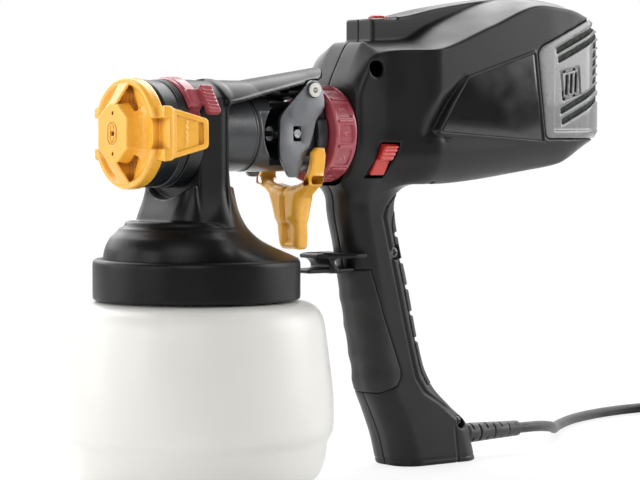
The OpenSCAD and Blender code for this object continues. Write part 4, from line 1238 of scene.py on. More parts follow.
class SPRAYER_OT_barrel(bpy.types.Operator):
    """Makes the barrel, the union ring and the valve body"""

    bl_idname = "sprayer.barrel"
    bl_label = "Barrel"

    def execute(self, context):
        axis = (0, 0, AXIS_Z)
        r, bore, flange = BARREL_R, 17.2, 24.1
        low, high = mm_box("barrel")
        tube = soft_corners(
            [
                (bore, low.x, 0.4), (r, low.x, 0.4), (r, -30.5, 0.2), (flange, -30.4, 0.4), (flange, -28.7, 0.4),
                (r, -28.6, 0.2), (r, high.x - 2.2, 0.2), (r - 0.3, high.x - 1.9, 0.2), (r, high.x - 1.5, 0.2),
                (r, high.x, 0.7), (bore, high.x, 0.5),
            ],
            0,
        )
        barrel = lathe("barrel_tube", tube, finishes().barrel, "x", axis)
        settled(barrel, "head", ["barrel"])
        self.union(axis)
        body = moulded(
            "valve_housing", self.valve, (27, -21, AXIS_Z - 21), (73, 21, AXIS_Z + 21), 0.5, finishes().barrel
        )
        settled(body, "head", ["valve_body"])
        return {"FINISHED"}

    def union(self, axis):
        """The union ring with fine ridges at its rear, and its skirt below the width ring."""
        a, b, r = UNION_FRONT, UNION_BACK, 28.4
        ridges = [(r - 0.8, b - 4.6, 0.2)]
        for k in range(3):
            at = b - 4.2 + 1.4 * k
            ridges += [(r - 0.1, at, 0.2), (r - 0.1, at + 0.5, 0.2), (r - 0.8, at + 0.8, 0.2)]
        profile = soft_corners(
            [
                (25.9, a, 0.3), (r - 0.6, a, 0.6), (r - 0.1, a + 1.6, 0.4), *ridges, (r - 0.9, b, 0.2),
                (20.7, b, 0.3), (20.7, a + 9, 0.2), (25.9, a + 9, 0.2),
            ],
            0,
        )
        ring = lathe("union_nut", profile, finishes().union, "x", axis)
        settled(ring, "head", ["union_ring"])
        low, high = (WIDTH_FRONT - 1, -29, AXIS_Z - 29), (WIDTH_BACK + 1, 29, AXIS_Z + 12)
        skirt = moulded("union_skirt", self.skirt, low, high, 0.5, finishes().union)
        settled(skirt, "head")

    def skirt(self, x, y, z):
        """A plain sleeve round the lower part of the width ring."""
        h, radius = about_axis(y, z)
        wall = extruded(np.maximum(radius - 28.5, 26.9 - radius), x, WIDTH_FRONT - 0.2, WIDTH_BACK, 0.4)
        angle = np.degrees(np.arctan2(-y, h))
        ends = np.minimum(angle - 76, 270 - np.mod(angle, 360)) * math.radians(1) * 27
        return smooth_max(wall, -ends, 0.6)

    def valve(self, x, y, z):
        """A tube with a hub and crossed webs, cut away where the plates swing and the cross pin slides."""
        h, radius = about_axis(y, z)
        side = np.abs(y)
        tube = np.maximum(extruded(radius - 20.5, x, 27.15, 72.9, 0.7), 15.5 - radius)
        hub = extruded(np.maximum(radius - 5.5, 1.8 - radius), x, 30, 42, 0.3)
        web = np.maximum(np.minimum(side, np.abs(h)) - 1.2, np.maximum(radius - 16, np.abs(x - 36) - 4))
        pocket = block(x, side, h, (29.5, 16.9, -30), (66.5, 40, 30), 0.2)
        deep = np.maximum(32.6 + (h / 15.5) ** 2 * 6 - x, x - 55)
        deep = np.maximum(deep, np.maximum(6.5 - side, np.abs(h) - 16.5))
        rear_gap = block(x, side, h, (65.5, 16.9, 7.5), (80, 40, 30), 0.2)
        top = block(x, y, h, (PIVOT.x - 18, -40, 17.4), (90, 40, 40), 0.2)
        slot = block(x, y, h, (49.4, -40, -3), (58.8, 40, 3), 0.4)
        seat = np.maximum(65.8 - x, radius - 18.5)
        shape = np.minimum(np.minimum(tube, hub), web)
        shape = smooth_max(shape, -np.minimum(np.minimum(pocket, rear_gap), deep), 0.4)
        shape = np.maximum(shape, -np.minimum(top, slot))
        return np.maximum(shape, -seat)


# ---- Trigger ----

PLATE_IN, PLATE_OUT = 17.2, 19.2


class SPRAYER_OT_trigger(bpy.types.Operator):
    """Makes the forked trigger, its two plates and the pivot pin"""

    bl_idname = "sprayer.trigger"
    bl_label = "Trigger"

    def execute(self, context):
        low, high = mm_box("trigger")
        fork = moulded("trigger_fork", self.fork, low, high, 0.5, finishes().golden)
        settled(fork, "trigger", ["trigger"])
        px, pz = PIVOT.x, PIVOT.z
        corners = [
            (-22.4, -14, 3), (-23.2, -35, 4), (-16.6, -47, 2), (-10.6, -47, 2), (-8.6, -41.5, 3), (-1.6, -27, 6),
            (0.2, -21, 4), (1.6, -15.4, 3), (7.4, -10.5, 3), (6.8, -3, 3), (5.4, 2.0, 2.4), (2.6, 5.0, 2.2),
            (-1.0, 5.5, 1.6), (-4.4, 3.4, 3),
        ]
        shape = soft_corners([(px + x, pz + z, cut) for x, z, cut in corners], 2)
        slot = soft_corners([(49.9, 183.3, 1), (55.1, 183.3, 1), (55.1, 191.5, 1), (49.9, 191.5, 1)], 1)
        near = plate("trigger_plate_near", shape, -PLATE_OUT, -PLATE_IN, finishes().plate, 0.45, holes=[slot])
        far = mirrored(near, "trigger_plate_far")
        settled(near, "trigger", ["trigger_plates"])
        settled(far, "trigger")
        seat, rim = PLATE_OUT + 0.1, PLATE_OUT + 0.6
        pin = soft_corners([(0, 0), (2.4, 0), (2.4, seat), (4.3, seat, 0.1), (4.3, rim, 0.2), (0, rim)], 0)
        cap = soft_corners([(1.5, rim), (3.8, rim, 0.1), (3.8, rim + 1.1, 0.4), (1.5, rim + 1.1, 0.4)], 0)
        core = soft_corners([(0, rim), (0.8, rim), (0.8, rim + 0.8, 0.3), (0, rim + 0.8)], 0)
        far = [
            lathe("pivot_pin_far", pin, finishes().dark_steel, "y", (px, 0, pz), 48),
            lathe("pivot_cap_far", cap, finishes().packing, "y", (px, 0, pz), 48),
            lathe("pivot_core_far", core, finishes().steel, "y", (px, 0, pz), 24),
        ]
        near = [mirrored(piece, piece.name.replace("far", "near")) for piece in far]
        settled(join("trigger_pivot_pin", [near[0], far[0]]), "head", ["pivot_pin"])
        settled(join("pivot_caps", [near[1], far[1]]), "head")
        settled(join("pivot_cores", [near[2], far[2]]), "head")
        return {"FINISHED"}

    def fork(self, x, y, z):
        """Two arms outside the plates, joined by a yoke that carries the finger blade."""
        arm_shape = [
            (-4.2, -33.5), (-1, -30.6), (4.4, -30.6), (5.4, -35), (4.8, -41), (3.6, -47.5), (2.0, -51.5),
            (-8.6, -51.5), (-8, -47.5), (-6.2, -44), (-4.5, -39),
        ]
        side = np.abs(y)
        arms = extruded(outline(x - PIVOT.x, z - PIVOT.z, arm_shape) + 0.3, side, 19.6, 24, 1.3) + 0.1
        h = z - PIVOT.z
        yoke = [
            (19.5, -47.5), (24, -47.5), (24, -49.5), (19.4, -54.4), (14.2, -58.5), (11.2, -63), (9.4, -70), (0, -72),
            (0, -52), (10, -50.6), (15.5, -48.6),
        ]
        bridge = extruded(outline(side, h, yoke) + 1.2, x, PIVOT.x - 5.2, PIVOT.x + 2.6, 2.4) - 1.0
        low = 124.2
        width = along(z, [low, 131, 139, 153, 160], [8.4, 9.2, 9.8, 11.6, 12.2])
        front = along(z, [low, 128, 139, 153, 160], [61.2, 60.0, 59.2, 57.2, 57.4])
        back = along(z, [low, 128, 139, 153, 160], [68.2, 68.4, 67.6, 68.8, 66.0])
        blade = rounded_box(x - (front + back) / 2, y, (back - front) / 2, width, 2.6)
        blade = smooth_max(blade, np.maximum(low - z, z - 155.5), 2.4)
        groove = np.maximum(side - 2.2, np.maximum(x - front - 2.0, np.abs(z - 141) - 12.5))
        blade = smooth_max(blade, -groove, 3.2)
        whole = smooth_min(smooth_min(arms, bridge, 4.0), blade, 4.0)
        return np.maximum(whole, 21.0 - np.hypot(y, z - AXIS_Z))


# ---- Air cap and rings ----

FLOW_PADS = 12
PAD_FLOOR_R = 25.55


class SPRAYER_OT_air_cap(bpy.types.Operator):
    """Makes the horned air cap with its two wings"""

    bl_idname = "sprayer.air_cap"
    bl_label = "Air Cap"

    def execute(self, context):
        low, high = mm_box("air_cap")
        cap = moulded("air_cap_body", self.field, low, high, 0.45, finishes().golden)
        settled(thin_out(cap, 150000), "air_cap", ["air_cap"])
        return {"FINISHED"}

    def field(self, x, y, z):
        """A dished disc with a raised hub, two horns, two wings and the slots and holes of its face."""
        h, radius = about_axis(y, z)
        side, up = np.abs(y), np.abs(h)
        face, back, hub = -46.0, -37.9, -53.0
        disc = smooth_max(radius - 29.2, np.maximum(face - x, x - back), 2.4)
        bowl = face + 2.3 * ramp(26.6 - radius, 0, 2.6)
        disc = smooth_max(disc, np.where(radius < 27.5, bowl - x, FAR_INSIDE), 0.6)
        plate_shape = outline(y, h, [(-13.8, 8.3), (-5, 15), (5, 15), (13.8, 8.3), (13.8, -7.6), (5, -14.6),
                                     (-5, -14.6), (-13.8, -7.6)])
        hub_body = smooth_max(plate_shape - 0.12 * (x - hub), np.maximum(hub - x, x - back), 1.2)
        cap = smooth_min(disc, hub_body, np.where(side > up, 5.0, 1.6))
        ridge = hub + 0.66 * (up - 15.2)
        horn = smooth_max(side - 3.4 - 0.2 * (x - hub), smooth_max(ridge - x, radius - 28, 1.0), 0.9)
        undercut = np.maximum(np.maximum(0.9 - side, ridge + 1.5 - x), 13.4 - up)
        horn = np.maximum(np.maximum(horn, np.maximum(hub - x, x - back)), -undercut)
        whole = np.minimum(cap, horn)
        pocket = outline(side, up, [(0.9, 15.4), (11.4, 10.2), (5.0, 24.8), (0.9, 25.6)])
        pocket = np.maximum(extruded(pocket, x, face + 0.5, -41.4, 0.4), side - 12)
        whole = smooth_max(whole, -pocket, 0.5)
        sleeve = extruded(np.maximum(radius - 25.5, 22.5 - radius), x, back - 1, back + 7, 0.4)
        whole = np.minimum(whole, sleeve)
        whole = np.minimum(whole, self.wing(x, side, h))
        window = block(x, side, h, (-48, 24.6, -7.9), (-39.6, 34.0, 7.9), 0.4)
        whole = smooth_max(whole, -window, 0.5)
        ring = np.abs(outline(side, up, [(-9, 5.8), (2.2, 5.8), (4.3, 3.6), (4.3, -9), (-9, -9)]) + 0.4) - 0.36
        line = np.maximum(ring, x - hub - 0.8)
        slit = np.maximum(np.abs(np.hypot(y, np.maximum(up - 2.6, 0)) - 1.7) - 0.3, x - hub - 0.6)
        whole = np.maximum(whole, -np.minimum(line, slit))
        small = np.hypot(y + 0.5, up - 10.5) - 1.0
        low_hole = np.hypot(y + 5.4, h + 16.2) - 1.5
        whole = np.maximum(whole, -np.minimum(small, low_hole))
        bore = np.where(x < hub + 3, radius - 1.3, radius - 2.3 - 0.8 * (x - hub - 3))
        return np.maximum(whole, -np.minimum(bore, np.maximum(radius - 22, -40 - x)))

    def wing(self, x, side, h):
        """One wing: a tapered plate with a raised border round a shallow well."""
        up = np.abs(h)
        tip, root = -14.8, -42.4
        half = 14.3 - 6.8 * (x - root) / (tip - root)
        flat = smooth_max(smooth_max(up - half, x - tip, 2.4), root - x, 2.4)
        skin = 33.3
        body = extruded(flat, side, 30.5, skin, 0.7)
        well = smooth_max(smooth_max(up - half + 3.0, x - tip + 3.2, 0.8), root + 7.4 - x, 0.8)
        depth = 1.1 + 0.8 * ramp(x, -20.8, -20.2)
        wave = 0.6 * np.exp(-(((x + 28.6 + 0.35 * np.sin(h * 1.9)) / 0.55) ** 2)) * ramp(7.0 - up, 0, 1)
        body = smooth_max(body, -np.maximum(well, skin - depth + wave - side), 0.35)
        root_band = block(x, side, h, (-42.4, 24.0, -14.0), (-37.0, 33.4, 14.0), 1.3)
        return smooth_min(body, root_band, 1.2)


class SPRAYER_OT_rings(bpy.types.Operator):
    """Makes the width ring with its tab and the flow ring with its pads"""

    bl_idname = "sprayer.rings"
    bl_label = "Rings"

    def execute(self, context):
        low, high = mm_box("width_ring")
        low, high = (WIDTH_FRONT, -34, low.z), (WIDTH_BACK + 8.5, 34, high.z)
        width = moulded("spray_width_ring", self.width, low, high, 0.42, finishes().crimson)
        settled(width, "width_ring", ["width_ring"])
        low, high = mm_box("flow_ring")
        flow = moulded("spray_flow_ring", self.flow, low, high, 0.42, finishes().crimson)
        settled(thin_out(flow, 150000), "flow_ring", ["flow_ring"])
        self.numerals()
        bar = plate(
            "flow_bar",
            [(RING_FRONT + 2.2, AXIS_Z + 25.9), (RING_BACK - 2.2, AXIS_Z + 25.9), (RING_BACK - 2.6, AXIS_Z + 27.2),
             (RING_FRONT + 2.6, AXIS_Z + 27.2)],
            -0.8, 0.8, finishes().crimson, 0.35,
        )
        step = 2 * math.pi / FLOW_PADS
        to_axis, from_axis = Matrix.Translation((0, 0, AXIS_Z * MM)), Matrix.Translation((0, 0, -AXIS_Z * MM))
        bar.data.transform(to_axis @ Matrix.Rotation(step / 2, 4, "X") @ from_axis)
        bars = row_of("flow_ring_bars", bar, FLOW_PADS, finishes().crimson, turn=(step, 0, 0), centre=(0, 0, AXIS_Z))
        settled(bars, "flow_ring")
        return {"FINISHED"}

    def width(self, x, y, z):
        """A ring whose upper arc stands proud, with a ribbed tab at its side."""
        h, radius = about_axis(y, z)
        band = 29.9 - 0.8 * (1 - ramp(x, WIDTH_FRONT + 1.2, WIDTH_FRONT + 1.9))
        angle = np.abs(np.degrees(np.arctan2(y, h)))
        band = band - 3.4 * ramp(angle, 61, 64)
        ring = np.maximum(extruded(radius - band, x, WIDTH_FRONT, WIDTH_BACK, 0.6), 20.5 - radius)
        turn = math.radians(56)
        along_tab = y * math.cos(turn) + h * math.sin(turn)
        out = -y * math.sin(turn) + h * math.cos(turn)
        front, back = WIDTH_BACK + 0.3, WIDTH_BACK + 8.2
        tab = block(x, along_tab, out, (front, -8.6, 29.2), (back, 8.6, 33.4), 1.0)
        root = block(x, along_tab, out, (WIDTH_FRONT + 1.5, -2, 26), (back - 3, 7.5, 30.9), 0.8)
        root = np.maximum(root, np.where(x > WIDTH_BACK, 29.2 - radius, FAR_INSIDE))
        ribs = 0.4 * np.cos(along_tab * 2 * math.pi / 2.3) * ramp(6.6 - np.abs(along_tab), 0, 0.6)
        ribs = ribs * ramp(out, 31.8, 32.6) * ramp(np.minimum(x - front, back - x), 1.0, 1.6)
        return smooth_min(ring, smooth_min(tab - ribs + 0.1, root, 0.8), 1.0)

    def flow(self, x, y, z):
        """A ring with framed pads all round."""
        h, radius = about_axis(y, z)
        step = 2 * math.pi / FLOW_PADS
        angle = np.arctan2(y, h)
        turned = (angle - np.round(angle / step) * step) * radius
        ring = np.maximum(extruded(radius - 26.55, x, RING_FRONT, RING_BACK, 0.7), 18.8 - radius)
        pad = rounded_box(turned, x - (RING_FRONT + RING_BACK) / 2, 4.7, 4.8, 0.9)
        cut = np.maximum(pad, PAD_FLOOR_R - radius)
        notch = np.maximum(np.abs(np.abs(turned) - 6.95) - 0.35, 25.9 - radius)
        notch = np.maximum(notch, np.abs(x - RING_FRONT - 7.2) - 5.2)
        return smooth_max(ring, -np.minimum(cut, notch), 0.4)

    def numerals(self):
        """Plain numbers on the ring's pads."""
        pieces = []
        for i in range(FLOW_PADS):
            text = bpy.data.curves.new(f"number_{i}", "FONT")
            text.body = str(i + 1)
            text.size = 6.4 * MM
            text.extrude = 0.25 * MM
            text.align_x = "CENTER"
            text.align_y = "CENTER"
            letter = as_plain_mesh(linked(f"number_{i}", text))
            turn = 2 * math.pi / FLOW_PADS * i
            stand = Matrix.Translation((0, 0, AXIS_Z * MM)) @ Matrix.Rotation(turn, 4, "X")
            place = Matrix.Translation(((RING_FRONT + RING_BACK) / 2 * MM, 0, PAD_FLOOR_R * MM))
            letter.data.transform(stand @ place @ Matrix.Rotation(math.pi / 2, 4, "Z"))
            letter.data.materials.clear()
            letter.data.materials.append(finishes().crimson_pale)
            pieces.append(letter)
        settled(join("flow_numbers", pieces), "flow_ring")


# ---- Turbine housing: sections along its length, and outlines on its side as (x, z) ----

POD_X = [SHELL_X, SHELL_X + 18, SHELL_X + 49, SHELL_X + 127, SHELL_X + 160, SHELL_X + 176, SHELL_X + 185]
LOW_X = [SHELL_X + v for v in (0, 18, 49, 124.5, 143.5, 163.5, 176, 185)]
POD_LOW = [AXIS_Z + v for v in (-26.5, -28, -28, -20.5, -17.3, -6.5, -1.5, 11)]
POD_HIGH = [AXIS_Z + v for v in (26.5, 56, 69, 81.5, 78.5, 69, 56)]
POD_WIDE = [26, 27.5, POD_HALF, POD_HALF, POD_HALF - 2, POD_HALF - 9, POD_HALF - 22]
POD_ROUND = [24, 20, 20, 18, 11, 8, 6]
GRIP_Z = [0, 21, 32, 44, 58, AXIS_Z - 80, AXIS_Z - 61, AXIS_Z - 40, AXIS_Z - 14]
GRIP_X = [159, 152.5, 144, 135, 130, 119, 114.5, 110.8, 112]
GRIP_LONG = [29.6, 29.4, 26, 22.6, 20.1, 18.8, 18.2, 18.8, 21]
GRIP_WIDE = [17.6, 17.4, 16.7, 16.1, 15.7, 15.6, 15.6, 15.7, 17.3]
PANEL = [(136.5, 188.9), (146.5, 204.4), (156.5, 217.9), (205.5, 232.9), (212.5, 183.9)]
SCOOP = [(150, 221), (142.8, 216), (135.5, 210.4), (129.8, 203.7), (124.8, 196), (122.7, 188.3), (123.4, 181.5),
         (140, 181.5), (165, 195), (165, 222)]
FRONT_PAD = [(80, 112.2), (107.6, 112.2), (116.2, 85), (127.8, 55.3), (127.8, 50.8), (124.9, 46.5), (116.3, 42.6),
             (99.2, 41.2), (80, 41.2)]
REAR_PAD = [(134, 148), (127.5, 145.5), (122.4, 140.4), (121.8, 135.5), (123.9, 126.5), (126.8, 115.5), (136.2, 78),
            (143, 53), (147.5, 45.5), (175, 45.5), (175, 148)]
REAR_GROOVE = [(139, 160.5), (131.8, 155.9), (123.8, 152.7), (117.4, 147), (115.7, 141), (117.4, 135), (119.5, 126),
               (122.4, 114.8), (131.9, 77.4), (139.3, 50), (145.2, 41.7), (160, 32.7), (172, 24)]
WINDOW = [(97.4, 163.3), (108.6, 163.3), (115.6, 182.5), (104.4, 182.5)]
SCREWS = [(101.5, 222.9), (125, 121), (172, 23)]
SCREW_HEAD_Y = -10.6


def top_facets(x, side):
    """Height of the pod's upper facets: a crease over the panel and one at the spine's foot."""
    inner = along(x, [88.5, 103.5, 118, 130, 150, 177.7, 197, 215, 248, 264, 274],
                  [216, 238.3, 238.9, 239.8, 248.6, 258.4, 263.4, 266.5, 263.5, 255.5, 243])
    outer = along(x, [88.5, 106, 120, 138.4, 175, 213.1, 235, 248, 264, 274],
                  [214, 227, 232, 235.2, 248.6, 261.0, 259, 255, 245, 236])
    return inner + (outer - inner) * np.clip((side - 13) / 25, 0, 1.25)


def pod_skin(x, y, z):
    """Distance to the pod's outside, without its spine."""
    side = np.abs(y)
    low, high = along(x, LOW_X, POD_LOW), along(x, POD_X, POD_HIGH)
    corner = np.where(z < (low + high) / 2, along(x, POD_X, POD_ROUND), 11)
    section = rounded_box(y, z - (low + high) / 2, along(x, POD_X, POD_WIDE), (high - low) / 2 + 1.5, corner)
    section = smooth_max(section, (z - top_facets(x, side)) * 0.93, 1.6)
    section = np.maximum(section, low - z)
    return smooth_max(section, np.maximum(POD_X[0] - x, x - POD_X[-1]), 3.5)


def grip_skin(x, y, z):
    """Distance to the outside of the pistol grip."""
    middle, long_half = along(z, GRIP_Z, GRIP_X), along(z, GRIP_Z, GRIP_LONG)
    section = rounded_box(x - middle, y, long_half, along(z, GRIP_Z, GRIP_WIDE), 13.5)
    return smooth_max(section, np.maximum(-z, z - 176), 1.6)


def housing_skin(x, y, z):
    """Distance to the outside of the whole housing."""
    spine_top = along(x, [100, 116, 132, 158, 195, 222], [250.4, 251.6, 253.4, 258.8, 264.6, 267.6])
    spine = smooth_max(np.abs(y) - 12, np.maximum(z - spine_top, 109.5 - x), 2.2)
    spine = np.maximum(spine, np.maximum(225 - z, x - 226))
    pod = smooth_min(pod_skin(x, y, z), spine, 1.4)
    return smooth_min(pod, grip_skin(x, y, z), 12)


def cover_line(x, z, gap=0.0):
    """Distance inside the rear cover's own side outline."""
    zone = outline(x, z, [(214.6, 187), (208.6, 233.5), (211.5, 237.4), (292, 272), (292, 184.6), (217, 184.6)])
    return zone + gap


def scoop_dip(x, side, z):
    """How far the scoop in front of the panel sinks into the pod's side."""
    panel, scoop = outline(x, z, PANEL), outline(x, z, SCOOP)
    return 4.2 * ramp(-scoop, 0, 12) * ramp(panel, 1.7, 3.4) * ramp(side, 22, 28)


class SPRAYER_OT_housing(bpy.types.Operator):
    """Makes the turbine housing's two moulded halves"""

    bl_idname = "sprayer.housing"
    bl_label = "Housing"

    def execute(self, context):
        step = context.scene.sprayer_sizes.shell_step / MM
        for side, node in ((-1, "housing_near"), (1, "housing_far")):
            low = (SHELL_X, -41 if side < 0 else -0.4, 0)
            high = (275, 0.4 if side < 0 else 41, POD_TOP)
            half = moulded(
                f"{node}_shell", lambda x, y, z, s=side: self.field(x, y, z, s), low, high, step, finishes().housing
            )
            settled(thin_out(half), "handle", [node])
        low, high = mm_box("volute")
        casing = moulded("turbine_scroll", self.scroll, low, high, 0.9, finishes().alu)
        settled(casing, "handle", ["volute"])
        heads = [self.screw(i, *place) for i, place in enumerate(SCREWS)]
        settled(join("shell_screws", heads), "handle", ["housing_screws"])
        return {"FINISHED"}

    def screw(self, index, sx, sz):
        """One cross-headed screw, its head at the foot of its recess."""

        def field(x, y, z):
            u, v = np.abs(x - sx), np.abs(z - sz)
            radius = np.hypot(u, v)
            height = np.maximum(SCREW_HEAD_Y - 2.2 - y + 0.05 * radius**2, y - SCREW_HEAD_Y)
            head = smooth_max(radius - 3.2, height, 0.4)
            cross = np.minimum(np.maximum(u - 0.45, v - 1.9), np.maximum(v - 0.45, u - 1.9))
            cross = np.maximum(cross, y - SCREW_HEAD_Y + 1.1)
            shaft = np.maximum(radius - 1.7, np.maximum(SCREW_HEAD_Y - 0.5 - y, y - 7.5))
            return np.minimum(np.maximum(head, -cross), shaft)

        low, high = (sx - 4, SCREW_HEAD_Y - 3, sz - 4), (sx + 4, 8, sz + 4)
        return moulded(f"screw_{index}", field, low, high, 0.3, finishes().dark_steel)

    def scroll(self, x, y, z):
        """The turbine's casing with its front edge rounded."""
        h = z - MOTOR_Z
        radius = np.hypot(y, h)
        front, back, outer = POD_X[2] - 1, POD_X[2] + 27, 36.0
        body = smooth_max(radius - outer, np.maximum(front - x, x - back), 1.0)
        nose = np.hypot(np.maximum(radius - outer + 9, 0), np.maximum(front + 9 - x, 0)) - 9
        body = np.maximum(body, np.where((radius > outer - 9) & (x < front + 9), nose, FAR_INSIDE))
        side = np.abs(y)
        body = np.maximum(body, pod_skin(x, y, z) + 3.1 + scoop_dip(x, side, z) * 1.1)
        body = np.maximum(body, -(body + 2.0))
        duct = np.maximum(np.hypot(y, z - AXIS_Z - 18) - 13, x - front - 4)
        return np.maximum(np.maximum(body, -duct), -np.maximum(radius - 14, front + 20 - x))

    def field(self, x, y, z, half):
        """One half of the shell, from its outside inwards: reliefs, hollow, then the seats of what it carries."""
        side = np.abs(y)
        skin = housing_skin(x, y, z)
        pod = pod_skin(x, y, z)
        panel = outline(x, z, PANEL)
        dip = scoop_dip(x, side, z)
        skin = skin + dip - 0.65 * (1 - ramp(np.abs(panel - 1.0), 0.5, 1.1)) * ramp(side, 28, 34)
        rear_line = path_distance(x, z, REAR_GROOVE)
        skin = skin + 0.9 * (1 - ramp(rear_line, 0.5, 1.1)) * ramp(side, 5, 8)
        bevel = path_distance(x, z, [(166.5, 20.5), (168.9, 0)])
        skin = skin + 0.4 * (1 - ramp(bevel, 0.4, 0.9)) * (z < 21) * (side > 6)
        skin = skin + 0.35 * (1 - ramp(np.abs(z - 3.4), 0.3, 0.7))
        hollow = smooth_max(pod + 2.8 + dip, np.maximum(98 - x, AXIS_Z - 27 + (x < 140) * 8 - z), 1.0)
        shell = np.maximum(skin, -hollow)
        edge = cover_line(x, z)
        shell = np.maximum(shell, -np.minimum(np.maximum(edge - 0.2, -pod - 1.5), edge + 3))
        pad = outline(x, z, FRONT_PAD)
        strap = outline(x, z, REAR_PAD)
        pocket = np.maximum(np.minimum(pad, strap), -grip_skin(x, y, z) - 1.3)
        shell = np.maximum(shell, -pocket)
        seat = np.maximum(panel - 0.15, POD_HALF - 1.3 - side)
        shell = np.maximum(shell, -seat)
        if half < 0:
            window = np.maximum(outline(x, z, WINDOW), y + 16.95)
            shell = smooth_max(shell, -window, 0.8)
        for sx, sz in SCREWS:
            around = np.hypot(x - sx, z - sz)
            recess = np.maximum(around - 3.75 - 0.8 * ramp(-y, 20, 26), y - SCREW_HEAD_Y)
            shell = smooth_max(shell, -recess, 0.6)
            shell = np.maximum(shell, -np.maximum(around - 2.1, np.abs(y + 2) - 11))
        button = np.maximum(np.hypot(x - BUTTON.x, y) - 5.85, 240.4 - z)
        button = np.minimum(button, np.maximum(np.maximum(np.abs(x - BUTTON.x) - 4.6, y), 251.4 - z))
        shell = smooth_max(shell, -button, 0.6)
        axis_gap = np.hypot(y, z - AXIS_Z)
        shell = np.maximum(shell, -np.maximum(axis_gap - 21.15, x - 100))
        relief = np.hypot(y, z - RELIEF_Z)
        shell = np.maximum(shell, -np.maximum(relief - 5.6, 178 - x))
        shell = np.maximum(shell, -np.maximum(relief - 6.9, np.abs(x - 177.9) - 2.2))
        switch = block(x, y, z, (103.8, -17.1, 167.6), (116.2, -3.8, 178.4))
        shell = np.maximum(shell, -switch)
        return smooth_max(shell, -half * y + 0.04, 0.9)


class SPRAYER_OT_grips(bpy.types.Operator):
    """Makes the rubber pads of the grip and the finger guard"""

    bl_idname = "sprayer.grips"
    bl_label = "Grips"

    def execute(self, context):
        low, high = mm_box("grip_front")
        low, high = (low.x - 1.5, low.y - 1, 40), (130, high.y + 1, 114)
        front = moulded("grip_pad_front", self.front, low, high, 0.55, finishes().rubber)
        settled(thin_out(front, 150000), "handle", ["grip_front"])
        back = moulded("grip_pad_rear", self.back, (121, -18, 45), (176, 18, 149), 0.5, finishes().rubber)
        settled(thin_out(back, 150000), "handle", ["grip_rear"])
        low, high = mm_box("finger_guard")
        guard = moulded("finger_hook", self.guard, low, high, 0.5, finishes().housing)
        settled(guard, "handle", ["finger_guard"])
        return {"FINISHED"}

    def front(self, x, y, z):
        """The palm side's pad, with four soft swells for the fingers."""
        grip = grip_skin(x, y, z)
        ahead = ramp(along(z, GRIP_Z, GRIP_X) - x, 6, 15)
        ribs = sum(np.exp(-(((z - at) / 3.4) ** 2)) for at in (95.7, 79.9, 63.4, 49.2))
        proud = 0.25 + 0.5 * ribs * ahead
        body = smooth_max(grip - proud, outline(x, z, FRONT_PAD) + 0.35, 1.0)
        return np.maximum(body, -grip - 1.2)

    def back(self, x, y, z):
        """The rear pad, notched at even steps."""
        pitch = 14.9
        grip = grip_skin(x, y, z)
        body = smooth_max(grip - 0.35, outline(x, z, REAR_PAD) + 0.3, 1.2)
        beat = (z - 71.5) / pitch
        behind = ramp(x - along(z, GRIP_Z, GRIP_X), 9, 13)
        notch = np.abs(beat - np.round(beat)) * pitch - 1.3
        notch = np.maximum(np.maximum(notch, -0.95 - grip), np.maximum(66 - z, 0.5 - behind))
        screw_x, screw_z = SCREWS[1]
        hole = 5.0 - np.hypot(x - screw_x, z - screw_z)
        body = smooth_max(smooth_max(body, -notch, 0.9), hole, 0.5)
        return np.maximum(body, -grip - 1.2)

    def guard(self, x, y, z):
        """Two thin shelves joined by a web."""
        top, thick = 121.4, 2.4
        side = np.abs(y)
        plan = outline(x, side, [(74, 0), (74, 8.4), (77, 10), (94.5, 18.3), (102.5, 18.3), (102.5, 0)])
        plan = np.where(side < 5, np.maximum(74 - x, x - 102.5), plan)
        upper = extruded(plan + 0.6, z, top - thick, top, 1.0) - 0.1
        low = top - 10.5
        lower = block(x, y, z, (68, -9, low), (100.5, 9, low + thick), 1.1)
        web = block(x + 0.5 * (z - top + 5), y, z, (82.5, -9.6, low), (86, 9.6, top), 0.9)
        whole = smooth_min(smooth_min(upper, lower, 1.0), web, 3.6)
        return np.maximum(whole, -grip_skin(x, y, z) + 0.1)


